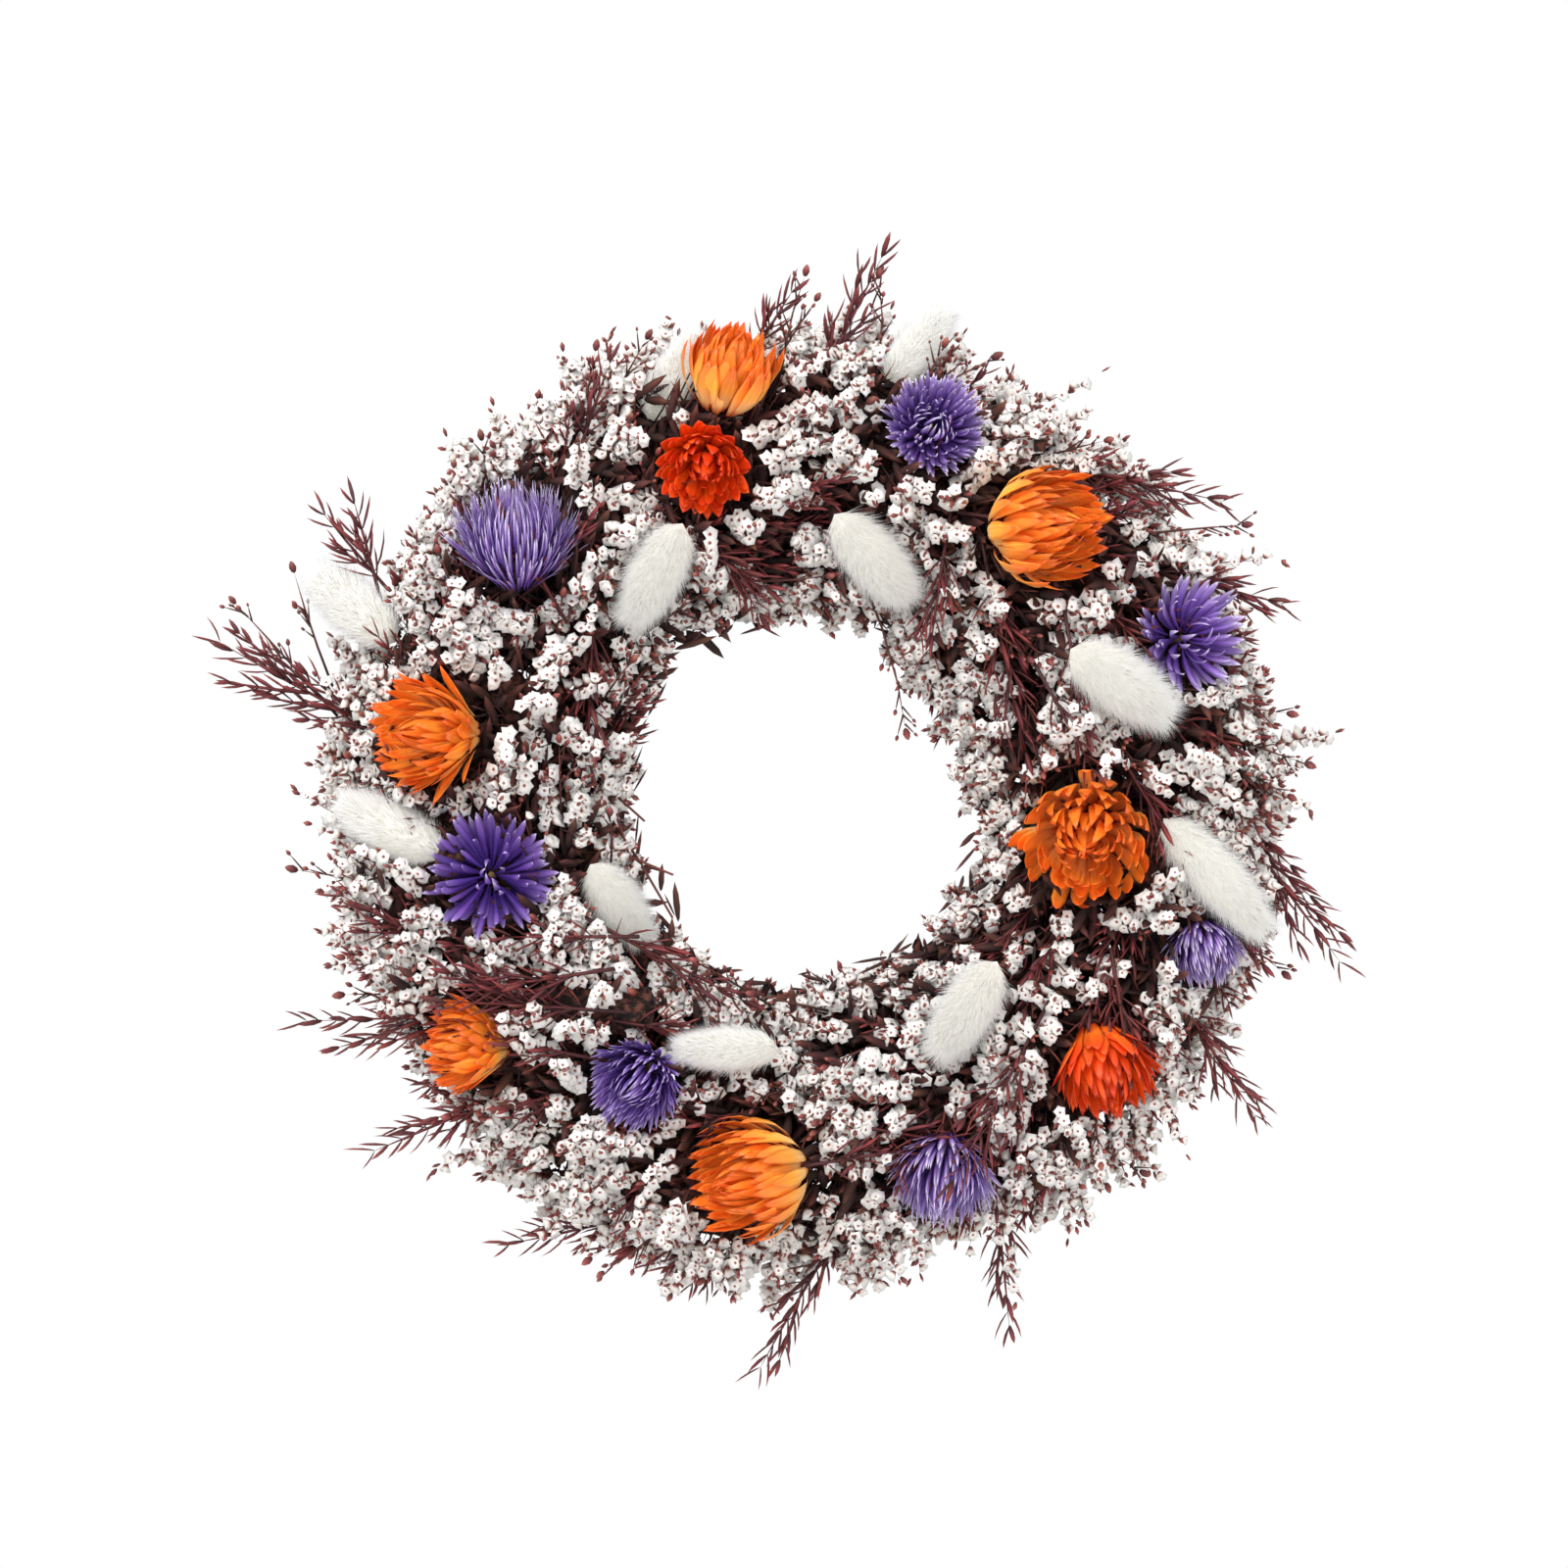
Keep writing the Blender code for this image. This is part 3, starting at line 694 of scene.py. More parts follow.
def leafy_twig(sprig, foot, reach, bend, spread, leaf_length, bare):
    """A twig along foot + reach z + bend z², with pairs of leaves from bare to its tip."""
    run = np.linalg.norm(reach)
    pairs = max(3, int((1 - bare) * run / LEAF_STEP))
    place = bare + (1 - bare) * (np.arange(pairs) + 0.5) / pairs
    place = np.repeat(place, 2) + chance.uniform(-0.01, 0.01, 2 * pairs)
    roots = foot + reach * place[:, None] + bend * place[:, None] ** 2
    ahead = unit(reach + 2 * bend * place[:, None])
    side, up = sides_of(unit(reach))
    turn = np.tile([0.0, math.pi], pairs) + np.repeat(np.arange(pairs) % 2, 2) * 1.1
    turn = turn + chance.normal(0, 0.35, 2 * pairs)
    out = np.cos(turn)[:, None] * side + np.sin(turn)[:, None] * up
    lean = np.radians(spread * (1 - 0.35 * place) + chance.normal(0, 7, 2 * pairs))[:, None]
    aim = ahead * np.cos(lean) + out * np.sin(lean)
    lengths = leaf_length * (1 - 0.35 * place**2) * chance.uniform(0.7, 1.12, 2 * pairs)
    lengths = lengths[:, None]
    bends = (ahead - aim) * lengths * 0.25 + chance.normal(0, 0.04, (2 * pairs, 3)) * lengths
    width = LEAF_WIDTH * chance.uniform(0.75, 1.15, 2 * pairs)
    sprig.add(leaf, roots, aim * lengths, width, width * 0.45, ahead, bends)
    sprig.add(twig, foot, reach, TWIG_WIDTH, TWIG_WIDTH, FORWARD, bend)


def leafy_sprig(sprig, foot, axis, run, width, stem):
    """A main twig and, where the sprig is wide or long, side shoots."""
    side, up = sides_of(axis)
    reach = axis * (run + stem)
    bend = side * chance.uniform(-0.06, 0.06) * run - axis * 0.02 * run
    start = foot - axis * stem
    leaf_length = min(LEAF_LENGTH, width * 0.95)
    leafy_twig(sprig, start, reach, bend, LEAF_SPREAD, leaf_length, stem / (run + stem))
    shoots = int(run * width / SHOOT_AREA)
    for i in range(shoots):
        place = stem / (run + stem) + 0.6 * (i + 0.3) / max(shoots, 1) * run / (run + stem)
        root = start + reach * place + bend * place**2
        hand = (-1) ** i * (0.3 + 0.12 * chance.random())
        aim = unit(axis + side * hand + up * chance.normal(0, 0.12))
        length = min(0.42 * run, width * 1.1) * chance.uniform(0.8, 1.1)
        curve = (axis - aim) * length * 0.2
        leaf_run = leaf_length * 0.85
        leafy_twig(sprig, root, aim * length, curve, SHOOT_SPREAD, leaf_run, 0.15)


for node in SPRIGS:
    start, axis, run, width = stand(node, SPRIG_WIDEST, SPRIG_STEM_LENGTH)
    leaves = Gathering()
    leafy_sprig(leaves, start, axis, run, width, SPRIG_STEM_LENGTH)
    dress(leaves.piece(f"{node}_foliage"), burgundy, stands_for=[node])

leaves = Gathering()
for clock, out_mm, fore_mm, heading, long_mm in EXTRA_SPRIGS:
    foot = hoop_point(clock, out_mm * MM, fore_mm * MM)
    axis = unit(outward(heading) + FORWARD * 0.12)
    leafy_sprig(leaves, foot, axis, long_mm * MM, EXTRA_WIDTH, EXTRA_STEM)
dress(leaves.piece("burgundy_small_sprigs"), burgundy)


# ------------------------ statice
# Twelve tied bunches of dried statice: thin brown stems that fan out clockwise from the vine,
# branching into spikes of ruffled white paper florets with dark red hearts, over the dark
# litter of their own dry leaves, and under that a dark mass of painted shade.
BUNCH_ARC = 30  # degrees of the hoop that a bunch covers
FLORET_WIDTH = 5.1 * MM
FLORET_HEIGHT = 3.3 * MM
FLORET_LOBES = 5
SPIKE_SPACING = 5.2 * MM
SPIKE_LENGTH = (10 * MM, 20 * MM)
CLUMPS = 10  # side branches of a bunch, whose spikes fan out from the branch
LEAFY_CLUMPS = [2, 2, 3, 3, 4, 3, 3, 4, 4, 3, 3, 2]  # of each bunch, mostly burgundy tufts
TUFT_SHARE = 0.5
TUFT_LENGTH = (16 * MM, 30 * MM)
TUFT_SPREAD = 42
TUFT_LEAF = 10 * MM
FLANK_SHARE = 0.55  # of its length that a spike keeps where it points straight out or in
CLUMP_SIZE = 16 * MM
CROWN_TRIES = 4000  # random places on a bunch, from which its spikes are picked
SIDE_CLOCK = 14.2  # degrees from a bunch's middle where it meets the next one
SIDE_FACING = 0.75
HOLD_DEPTH = 4.5 * MM  # over the vine, kept free of spikes
FLOWER_GAP = 1.0 * MM
BACK_FACING = -0.35
SPIKE_DEPTH = 5 * MM
SPIKE_TRIES = 6  # directions tried for a way past the flowers
FLARE_REACH = 60 * MM  # the farther out towards this, the more a spike leans outwards
BACK_LIFT = 0.45  # turns the spikes at the back forwards, clear of the door
FLORETS_PER_SPIKE = 10
SEPALS_PER_SPIKE = 7
SPRAYS_PER_BUNCH = 7  # longer spikes that stand out past the rim
SPRAY_LENGTH = (24 * MM, 40 * MM)
SPRAY_OUT = (30, 42)  # mm from the hoop, and forwards, to a spray's foot
SPRAY_FORWARD = (14, 30)
STEM_WIDTH = 0.9 * MM
TIE_RADIUS = 2 * MM  # over the vine's, within which the stems are tied
LITTER_PER_BUNCH = 1150
LITTER_LENGTH = 14 * MM
LITTER_WIDTH = 2.9 * MM
LITTER_THICKNESS = 0.7 * MM
LITTER_SINK = (1, 11)  # mm under a bunch's surface, to a leaf's foot
BACK_STEMS = 110
BACK_FEET = (-4, 18)  # degrees from a bunch's start to its stems' first foot, and on to the last
BACK_ENDS = (2, 31)
INNER_RIM = 26.5 * MM  # from the hoop, as far as the litter may reach each way
OUTER_RIM = 61 * MM
# A dark mass of painted shade fills each bunch under its litter: how far it sinks, its grain and the
# size of its mottle.
CORE_DEPTH = 10 * MM
CORE_GRAIN = 3 * MM
SHADE_MOTTLE_SIZE = 2.5 * MM
SHIELD = 1.2 * MM  # left between a floret's middle and a flower or plume
HEAD_FRONT = 0.74  # share of a head's radius with nothing in front of it
TAIL_FRONT = 0.42  # share of a plume's width, each side of its middle, likewise


def floret_shape(ruffle):
    """A ruffled paper funnel of five lobes, with a sunken heart and a narrow foot."""
    bm = bmesh.new()
    steps = 2 * FLORET_LOBES
    bmesh.ops.create_cone(bm, cap_ends=True, segments=steps, radius1=0.13, radius2=0.5, depth=1)
    bmesh.ops.translate(bm, verts=bm.verts, vec=(0, 0, 0.5))
    top = max(bm.faces, key=lambda face: face.calc_center_median().z)
    bottom = min(bm.faces, key=lambda face: face.calc_center_median().z)
    bmesh.ops.inset_individual(bm, faces=[top], thickness=0.36, depth=-0.4)
    heart = bmesh.ops.poke(bm, faces=[top])["verts"][0]
    heart.co.z += 0.1
    bmesh.ops.poke(bm, faces=[bottom])
    rim = sorted(
        (vertex for vertex in bm.verts if vertex.co.xy.length > 0.4),
        key=lambda vertex: math.atan2(vertex.co.y, vertex.co.x),
    )
    for i, vertex in enumerate(rim):
        lobe = i % 2 == 0
        vertex.co.xy *= 1.0 + ruffle.uniform(-0.1, 0.1) if lobe else 0.74
        vertex.co.z += ruffle.uniform(-0.22, 0.1) if lobe else -0.05

    def along(points):
        reach = np.hypot(points[:, 0], points[:, 1])
        on_rim = reach > 0.3
        inner = (reach > 0.09) & (points[:, 2] > 0.3) & ~on_rim
        centre = (reach < 0.05) & (points[:, 2] > 0.3)
        foot = (reach > 0.05) & (points[:, 2] < 0.1)
        return on_rim * 0.5 + inner * 0.82 + centre * 1.0 + foot * 0.05

    return Shape(bm, along)


ruffles = np.random.default_rng(5)
florets = [floret_shape(ruffles) for _ in range(4)]
bud = spindle(6, [(0.12, 0.3), (0.45, 0.5), (0.8, 0.32)])
sepal = spindle(4, [(0.2, 0.34), (0.6, 0.5)])

# Statice florets are dry, matt, slightly see-through paper; the heart is a shrivelled petal tube.
white_paper = tinted(
    "dried_statice_paper",
    [
        (0.0, "5A1F1B"),
        (0.16, "84443A"),
        (0.3, "E4DCD4"),
        (0.5, "F8F6F3"),
        (0.8, "F4EEEA"),
        (0.88, "C09088"),
        (0.94, "5C1A18"),
    ],
    0.07,
    0.04,
    Roughness=0.75,
)
statice_stem = tinted(
    "dried_statice_stem", [(0.0, "2B1812"), (0.5, "4A241D"), (1.0, "7A3A30")], 0.35, 0.2, Roughness=0.75
)
bud_skin = tinted(
    "dried_statice_bud", [(0.0, "3A110D"), (0.5, "702A25"), (1.0, "9C5A50")], 0.4, 0.12, Roughness=0.6
)
litter_leaf = tinted(
    "dry_leaf_litter", [(0.0, "1E0D0B"), (0.6, "44211C"), (1.0, "683A30")], 0.6, 0.2, Roughness=0.9
)
straw_stem = tinted(
    "dried_flower_stem", [(0.0, "3A281C"), (0.5, "5E4430"), (1.0, "6E4A38")], 0.35, 0.2, Roughness=0.8
)
# The sunken bunch solid is coloured as a mottled dark mass of painted shade.
shade_mass_colours = [(0.42, "0C0605"), (0.5, "2E1814"), (0.6, "5E362B")]
shade_mass_look = mottled("painted_shade_mass", SHADE_MOTTLE_SIZE, 4.0, shade_mass_colours, Roughness=1.0)

dressing_points, dressing_faces = [], []
for node in [name for name, _ in HEADS] + TAILS + SPRIGS:
    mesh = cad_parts[node].data
    first = len(dressing_points)
    dressing_points += [vertex.co.copy() for vertex in mesh.vertices]
    dressing_faces += [[first + i for i in face.vertices] for face in mesh.polygons]
dressing = BVHTree.FromPolygons(dressing_points, dressing_faces)


def outside(offset, radius, front):
    """Whether places, as offsets from a round thing's middle, are off it and not before it."""
    flat = np.hypot(offset[:, 0], offset[:, 2])
    return (np.linalg.norm(offset, axis=1) > radius) & ((flat > front) | (offset[:, 1] > 0))


def clear_of_flowers(points, margin):
    """Whether places are outside the heads and plumes, and not right in front of them."""
    clear = np.ones(len(points), bool)
    for centre, radius in heads:
        clear &= outside(points - centre, radius * 0.98 + margin, radius * HEAD_FRONT)
    for start, axis, run, width in tails:
        offset = points - start
        along = np.clip(offset @ axis, 0.05 * run, 0.95 * run)
        offset = offset - along[:, None] * axis
        clear &= outside(offset, width * 0.5 + margin, width * TAIL_FRONT)
    return clear


def surface_of(mesh):
    """Corner places and outward normals of a mesh's triangles."""
    mesh.calc_loop_triangles()
    triangles = spots_of(mesh)[[list(triangle.vertices) for triangle in mesh.loop_triangles]]
    normals = np.cross(triangles[:, 1] - triangles[:, 0], triangles[:, 2] - triangles[:, 0])
    return triangles, normals


def scatter(triangles, normals, count):
    """Random places on triangles, and the triangles' normals there."""
    areas = np.linalg.norm(normals, axis=1)
    picks = chance.choice(len(triangles), count, p=areas / areas.sum())
    a, b = chance.random((2, count, 1))
    a, b = np.where(a + b > 1, 1 - a, a), np.where(a + b > 1, 1 - b, b)
    corner = triangles[picks]
    spots = corner[:, 0] + a * (corner[:, 1] - corner[:, 0]) + b * (corner[:, 2] - corner[:, 0])
    return spots, unit(normals[picks])


def spaced(points, spacing):
    """Picks places in order, each at least spacing from those picked before it."""
    kept = []
    for i, point in enumerate(points):
        if not kept or np.linalg.norm(points[kept] - point, axis=1).min() > spacing:
            kept.append(i)
    return np.array(kept)


def add_spike(blooms, buds, root, aim, length, normal):
    """Florets in two ranks along a bending spike, turned up to its outer side, and end buds."""
    bend = (normal * 0.12 + chance.normal(0, 0.08, 3)) * length
    count = int(FLORETS_PER_SPIKE * chance.uniform(0.75, 1.2))
    place = 0.28 + 0.72 * (np.arange(count) + 0.5) / count
    spots = root + aim * length * place[:, None] + bend * place[:, None] ** 2
    side = unit(np.cross(aim, normal) + 1e-6)
    hand = np.where(np.arange(count) % 2, 1.0, -1.0)[:, None]
    turn = aim * 0.4 + side * hand * 0.75 + normal * 0.8 + chance.normal(0, 0.3, (count, 3))
    turn = unit(turn)
    scale = chance.uniform(0.78, 1.12, count) * (1 - 0.25 * place**4)
    spots = spots + turn * 0.8 * MM
    free = clear_of_flowers(spots + turn * FLORET_HEIGHT * 0.6, SHIELD)
    kinds = chance.integers(0, len(florets), count)
    roll = unit(chance.normal(0, 1, (count, 3)))
    for kind, shape in enumerate(florets):
        use = free & (kinds == kind)
        size = scale[use]
        blooms.add(
            shape,
            spots[use],
            turn[use] * FLORET_HEIGHT * size[:, None],
            FLORET_WIDTH * size,
            FLORET_WIDTH * size,
            roll[use],
        )
    # Empty burgundy sepals stand between the florets, most of them past the last one.
    place = chance.uniform(0.35, 1.08, SEPALS_PER_SPIKE)[:, None]
    lean = unit(aim + normal * 0.5 + chance.normal(0, 0.7, (SEPALS_PER_SPIKE, 3)))
    ends = root + aim * length * place + bend * place**2 + lean * chance.uniform(0.5, 2.5) * MM
    use = clear_of_flowers(ends, SHIELD)
    size = chance.uniform(0.9, 1.7, use.sum()) * MM
    buds.add(sepal, ends[use], lean[use] * 3.4 * MM, size, size, normal)
    return bend


def joined(start, end, aim):
    """Reach and bend of a stem from start that arrives at end along aim."""
    apart = np.linalg.norm(end - start, axis=-1, keepdims=True)
    corner = end - aim * apart * 0.5
    return 2 * (corner - start), start - 2 * corner + end


def crown_places(triangles, normals, first_clock):
    """(places, normals, clocks, outwards) on a bunch where spikes can grow: not where it meets
    the next bunch, the vine or a flower, and not on its back."""
    spots, faces = scatter(triangles, normals, CROWN_TRIES)
    clock, outwards, forwards = on_hoop(spots)
    edge = np.abs((clock - first_clock - BUNCH_ARC / 2 + 180) % 360 - 180) > SIDE_CLOCK
    sideways = np.abs((faces * onward(clock)).sum(1)) > SIDE_FACING
    hold = np.hypot(outwards, forwards) < BUNDLE_RADIUS + HOLD_DEPTH
    hollow = np.array([dressing.find_nearest(Vector(spot))[3] < FLOWER_GAP for spot in spots])
    crown = ~(edge & sideways) & ~hold & ~hollow & (faces @ FORWARD > BACK_FACING)
    return spots[crown], faces[crown], clock[crown], outwards[crown]


def grow_crown(blooms, buds, stems, tufts, places, first_clock, leafy):
    """Spikes of florets over a bunch, in clumps that fan out. On the first clumps, as many as
    leafy says, part of the spikes are burgundy tufts. Each stem runs from the tie on the vine."""
    spots, faces, clock, outwards = places
    picked = spaced(spots, SPIKE_SPACING)
    centres = spots[chance.choice(len(spots), CLUMPS)]
    growth = chance.uniform(0.7, 1.5, CLUMPS)
    for i in picked:
        normal, out = faces[i], outward(clock[i])
        flow = onward(clock[i]) * 0.7 + out * np.clip(outwards[i] / FLARE_REACH, -0.6, 0.8)
        clump = np.argmin(np.linalg.norm(centres - spots[i], axis=1))
        fan = (spots[i] - centres[clump]) / CLUMP_SIZE
        flow = flow + FORWARD * max(0.0, BACK_LIFT - normal @ FORWARD)
        aims = unit(normal * 0.7 + flow + fan * 0.9 + chance.normal(0, 0.3, (SPIKE_TRIES, 3)))
        flank = min(1.0, abs(normal @ out) * 1.2)
        kept_share = FLANK_SHARE * growth[clump] if normal @ out > 0 else FLANK_SHARE
        keep = 1 - (1 - kept_share) * flank
        length = chance.uniform(*SPIKE_LENGTH) * growth[clump] * keep
        root = spots[i] - normal * SPIKE_DEPTH * (1 + 0.6 * flank)
        aim = aims[np.argmax(clear_of_flowers(root + aims * length * 0.7, SHIELD))]
        if clump < leafy and chance.random() < TUFT_SHARE:
            if chance.random() < 0.85:
                aim = unit(normal * 0.45 + flow + chance.normal(0, 0.2, 3))
                reach = aim * chance.uniform(*TUFT_LENGTH) * keep
                bend = normal * -2 * MM
                leafy_twig(tufts, root, reach, bend, TUFT_SPREAD, TUFT_LEAF, 0.2)
            continue
        bend = add_spike(blooms, buds, root, aim, length, normal)
        stems.add(twig, root, aim * length, STEM_WIDTH, STEM_WIDTH, normal, bend)
        tie = hoop_point(
            clock[i] * 0.35 + (first_clock + 4) * 0.65,
            (BUNDLE_RADIUS + TIE_RADIUS) * chance.uniform(-0.7, 0.9),
            (BUNDLE_RADIUS + TIE_RADIUS) * chance.uniform(0.3, 0.9),
        )
        reach, bend = joined(tie, root + aim * 2 * MM, aim)
        stems.add(twig, tie, reach, STEM_WIDTH * 1.2, STEM_WIDTH * 1.2, normal, bend)


def grow_sprays(blooms, buds, stems, first_clock):
    """Longer spikes that stand out past the rim."""
    for _ in range(SPRAYS_PER_BUNCH):
        clock = first_clock + chance.uniform(0, BUNCH_ARC)
        out = outward(clock)
        normal = unit(FORWARD * 0.6 + out)
        aim = unit(out * chance.uniform(0.5, 1.1) + onward(clock) + chance.normal(0, 0.2, 3))
        root = hoop_point(
            clock, chance.uniform(*SPRAY_OUT) * MM, chance.uniform(*SPRAY_FORWARD) * MM
        )
        length = chance.uniform(*SPRAY_LENGTH)
        bend = add_spike(blooms, buds, root, aim, length, normal)
        stems.add(twig, root, aim * length, STEM_WIDTH, STEM_WIDTH, normal, bend)


def back_stems(first_clock, reach_out):
    """Long stems that fan out behind the flowers, from the tie on the vine to the outer edge."""
    turn = chance.uniform(0, 1, BACK_STEMS)
    feet = hoop_point(
        first_clock + BACK_FEET[0] + BACK_FEET[1] * turn,
        BUNDLE_RADIUS + chance.uniform(-3, 3, BACK_STEMS) * MM,
        chance.uniform(-4, 12, BACK_STEMS) * MM,
    )
    ends = hoop_point(
        first_clock + BACK_ENDS[0] + BACK_ENDS[1] * turn + chance.normal(0, 2.5, BACK_STEMS),
        reach_out - chance.uniform(2, 30, BACK_STEMS) * MM,
        chance.uniform(-5, 9, BACK_STEMS) * MM,
    )
    bends = chance.normal(0, 3, (BACK_STEMS, 3)) * MM - FORWARD * 3 * MM
    fan = Gathering()
    fan.add(twig, feet, ends - feet - bends, STEM_WIDTH * 1.3, STEM_WIDTH * 1.3, FORWARD, bends)
    return fan


def leaf_litter(triangles, normals, back):
    """Dry leaves all over a bunch. None ends past the rims, or behind the bunch's back."""
    spots, faces = scatter(triangles, normals, LITTER_PER_BUNCH)
    depth = chance.uniform(*LITTER_SINK, (LITTER_PER_BUNCH, 1)) * MM
    clock, outwards, forwards = on_hoop(spots)
    aims = unit(faces * 0.35 + onward(clock) * 0.6 + chance.normal(0, 0.7, (LITTER_PER_BUNCH, 3)))
    reaches = aims * (LITTER_LENGTH * chance.uniform(0.5, 1.1, (LITTER_PER_BUNCH, 1)))
    tips = outwards + (reaches * outward(clock)).sum(1)
    use = (tips > -INNER_RIM) & (tips < OUTER_RIM) & (forwards + reaches @ FORWARD > back)
    roots = (spots - faces * depth)[use]
    litter = Gathering()
    litter.add(leaf, roots, reaches[use], LITTER_WIDTH, LITTER_THICKNESS, faces[use])
    return litter


def sink_shade_mass(core):
    """Sinks a bunch's solid under its litter as a dark mass of painted shade, and breaks its surface
    up.
    """
    sink = core.modifiers.new("sunk", "DISPLACE")
    sink.strength = -CORE_DEPTH
    sink.mid_level = 0
    remesh = core.modifiers.new("packed", "REMESH")
    remesh.mode = "VOXEL"
    remesh.voxel_size = CORE_GRAIN
    roughen(core, 6 * MM, 5 * MM, 1.0)


for index, leafy in enumerate(LEAFY_CLUMPS):
    node = f"statice_bunch_{index + 1:02d}"
    first_clock = BUNCH_ARC * index
    core = merged_copy(node, f"{node}_core")
    triangles, normals = surface_of(core.data)
    _, outwards, forwards = on_hoop(triangles.reshape(-1, 3))
    places = crown_places(triangles, normals, first_clock)
    blooms, buds, stems, tufts = Gathering(), Gathering(), Gathering(), Gathering()
    grow_crown(blooms, buds, stems, tufts, places, first_clock, leafy)
    grow_sprays(blooms, buds, stems, first_clock)
    dress(blooms.piece(f"{node}_florets"), white_paper, stands_for=[node])
    dress(buds.piece(f"{node}_buds"), bud_skin)
    dress(stems.piece(f"{node}_stems"), statice_stem)
    dress(tufts.piece(f"{node}_tufts"), burgundy)
    fan = back_stems(first_clock, outwards.max())
    dress(fan.piece(f"{node}_back_stems"), straw_stem)
    litter = leaf_litter(triangles, normals, forwards.min())
    dress(litter.piece(f"{node}_litter"), litter_leaf)
    # The bunch's own solid becomes the sunken dark mass of painted shade.
    sink_shade_mass(core)
    dress(core, shade_mass_look)


# ------------------------ budded twigs
# Thin dark twigs of the same statice that never opened: round pink-brown buds at their tips and
# forks, standing out past the flowers, and a few bare stems across the opening.
BUD_TWIGS = [  # clock and outwards mm of the tip, forwards mm, heading, length mm
    (289, 106, 24, 318, 48), (294, 92, 26, 342, 38), (318, 68, 30, 349, 34), (335, 72, 28, 9, 38),
    (341, 69, 30, 30, 32), (0, 81, 26, 12, 42), (8, 82, 24, 4, 40), (17, 64, 34, 22, 28),
    (23, 66, 34, 64, 28), (58, 78, 30, 85, 34), (86, 74, 26, 111, 36), (80, 70, 30, 100, 36),
    (110, 76, 26, 130, 32), (138, 74, 26, 120, 36), (142, 70, 28, 160, 34), (56, -44, 34, 164, 50),
    (262, 78, 24, 285, 34), (247, 74, 26, 262, 34), (205, 76, 24, 235, 34), (192, 70, 28, 215, 30),
]  # fmt: skip
LOOSE_STEMS = [  # clock and outwards mm at each end
    (268, -18, 228, -26), (262, -6, 240, -34), (276, -14, 262, -31), (284, -12, 250, -24),
]  # fmt: skip
BUD_WIDTH = 2.4 * MM
BUD_SPACING = 5 * MM
RANDOM_TWIGS = 6  # for each bunch
TWIG_FEET = (-18, 52)  # mm outwards from the hoop
TWIG_HEIGHT = 28 * MM
TWIG_FLARE = 40 * MM  # the farther out towards this, the more a twig leans outwards
TWIG_CLEAR = 24 * MM  # along a twig, where no flower may be
TWIG_LENGTH = (22, 34)
STEM_FORWARD = (20 * MM, 26 * MM)  # of the loose stems' two ends
STEM_SAG = 3 * MM


def budded_twig(twigs, buds, foot, aim, length):
    """A forked twig from its foot, with a bud at each tip."""
    side, up = sides_of(aim)
    bend = (side * chance.normal(0, 0.1) + up * chance.normal(0, 0.06)) * length
    twigs.add(twig, foot, aim * length - bend, STEM_WIDTH, STEM_WIDTH, FORWARD, bend)
    count = max(3, int(length / BUD_SPACING))
    place = chance.uniform(0.4, 0.96, count)[:, None]
    roots = foot + (aim * length - bend) * place + bend * place**2
    turn = chance.uniform(0, math.tau, count)[:, None]
    lean = unit(aim + (np.cos(turn) * side + np.sin(turn) * up) * 0.7)
    reach = chance.uniform(3, 8, (count, 1)) * MM
    twigs.add(twig, roots, lean * reach, STEM_WIDTH * 0.7, STEM_WIDTH * 0.7, FORWARD)
    tips = np.vstack([roots + lean * reach * 0.9, foot + aim * length * 0.98])
    aims = np.vstack([lean, aim])
    size = np.append(chance.uniform(0.35, 0.65, count), chance.uniform(0.8, 1.1)) * BUD_WIDTH
    buds.add(bud, tips, aims * size[:, None] * 1.7, size, size, FORWARD)


twigs, buds = Gathering(), Gathering()
for clock, out_mm, fore_mm, heading, long_mm in BUD_TWIGS:
    aim = unit(outward(heading) + FORWARD * chance.uniform(-0.05, 0.2))
    tip = hoop_point(clock, out_mm * MM, fore_mm * MM)
    budded_twig(twigs, buds, tip - aim * long_mm * MM, aim, long_mm * MM)
for number in range(1, len(LEAFY_CLUMPS) + 1):
    for _ in range(RANDOM_TWIGS):
        clock = BUNCH_ARC * (number - chance.random())
        out = chance.uniform(*TWIG_FEET) * MM
        aim = unit(onward(clock) + outward(clock) * out / TWIG_FLARE + FORWARD * 0.8)
        foot = hoop_point(clock, out, TWIG_HEIGHT)
        if clear_of_flowers((foot + aim * TWIG_CLEAR)[None], SHIELD)[0]:
            budded_twig(twigs, buds, foot, aim, chance.uniform(*TWIG_LENGTH) * MM)
for start_clock, start_out, end_clock, end_out in LOOSE_STEMS:
    start = hoop_point(start_clock, start_out * MM, STEM_FORWARD[0])
    end = hoop_point(end_clock, end_out * MM, STEM_FORWARD[1])
    bend = outward(start_clock) * STEM_SAG
    twigs.add(stalk, start, end - start - bend, STEM_WIDTH, STEM_WIDTH, FORWARD, bend)
dress(twigs.piece("budded_twigs"), statice_stem)
dress(buds.piece("budded_twig_buds"), bud_skin)


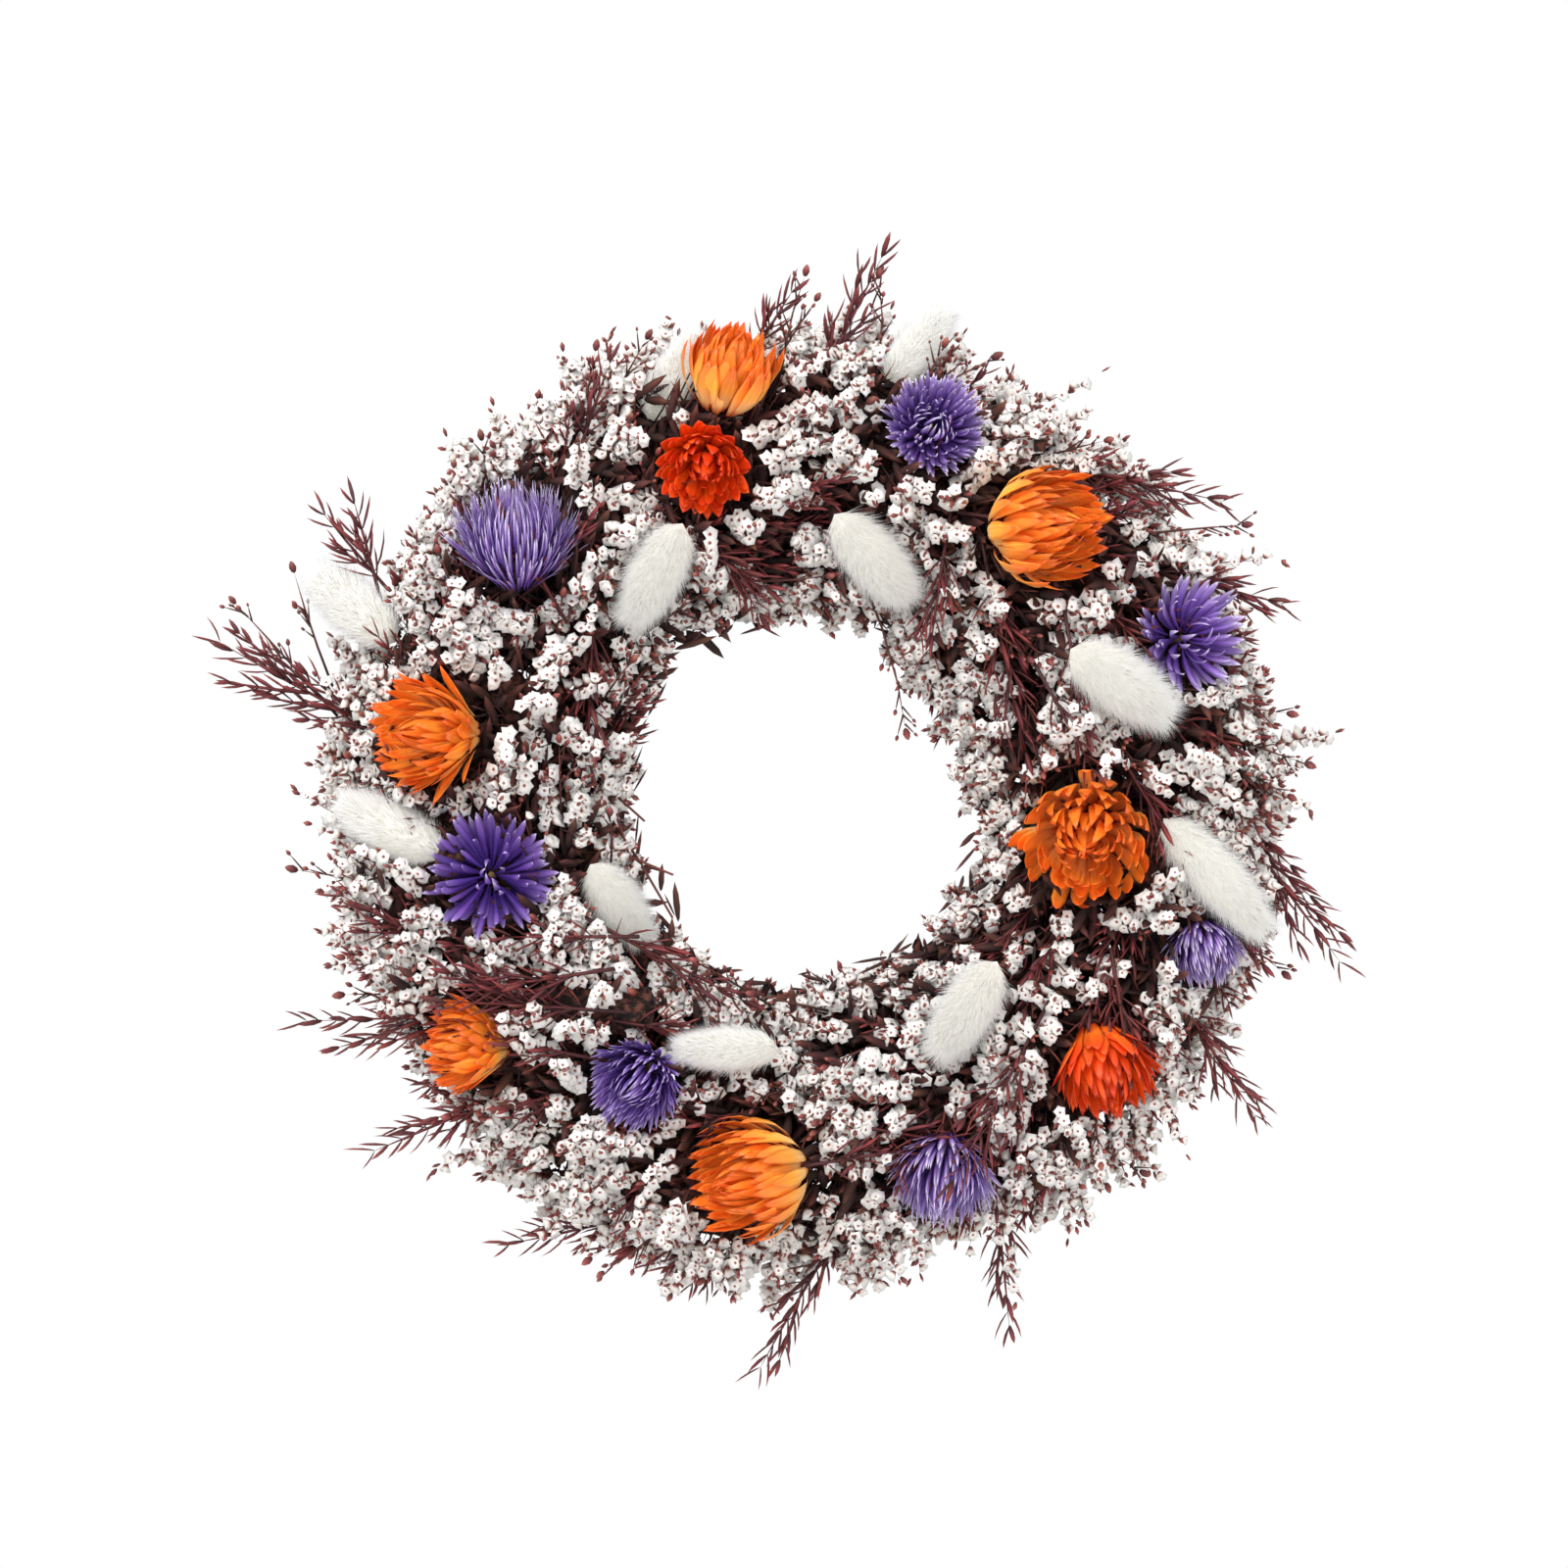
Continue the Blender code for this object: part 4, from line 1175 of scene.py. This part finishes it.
# ------------------------ floor, light and camera
# A pale studio floor well below the hanging wreath, soft light all round and a brighter soft
# panel above and in front of it.
FLOOR_DROP = 0.30
FLOOR_RADIUS = 1.0
LENS = 100.0
SENSOR = 36.0
FRAME_WIDTH = 0.480
FLOWER_PLANE = 0.040  # forward of the hoop, where the frame's width is measured
CAMERA_RIGHT = -0.0066  # of the hoop's centre
CAMERA_UP = 0.0045
PANELS = (  # name, place from the hoop's centre, size, watts
    ("key_panel", (-0.7, -1.3, 1.1), 0.9, 22),
    ("fill_panel", (1.2, -1.2, 0.2), 1.2, 6),
)

bm = bmesh.new()
bmesh.ops.create_circle(bm, cap_ends=True, segments=96, radius=FLOOR_RADIUS)
floor_mesh = bpy.data.meshes.new("floor")
bm.to_mesh(floor_mesh)
bm.free()
floor = add_object("floor", floor_mesh)
floor.location = (HOOP_CENTRE[0], HOOP_CENTRE[1], cad_box[0].z - FLOOR_DROP)
floor_mesh.materials.append(
    new_material("pale_floor", Base_Color=colour("E9E8E6"), Roughness=0.8)[0]
)

world = bpy.data.worlds.new("soft_white")
world.use_nodes = True
sky = world.node_tree.nodes["Background"]
sky.inputs["Color"].default_value = (1, 1, 1, 1)
sky.inputs["Strength"].default_value = 1.0
bpy.context.scene.world = world
bpy.context.scene.view_settings.view_transform = "Standard"

for name, place, size, power in PANELS:
    panel = bpy.data.lights.new(name, "AREA")
    panel.size = size
    panel.energy = power
    lamp = add_object(name, panel)
    lamp.location = Vector(HOOP_CENTRE) + Vector(place)
    lamp.rotation_euler = Vector(place).to_track_quat("Z", "Y").to_euler()

lens = bpy.data.cameras.new("camera")
lens.lens = LENS
lens.sensor_width = SENSOR
camera = add_object("camera", lens)
distance = FRAME_WIDTH * LENS / SENSOR
camera.location = (
    HOOP_CENTRE[0] + CAMERA_RIGHT,
    HOOP_CENTRE[1] - FLOWER_PLANE - distance,
    HOOP_CENTRE[2] + CAMERA_UP,
)
camera.rotation_euler = (math.pi / 2, 0, 0)
bpy.context.scene.camera = camera
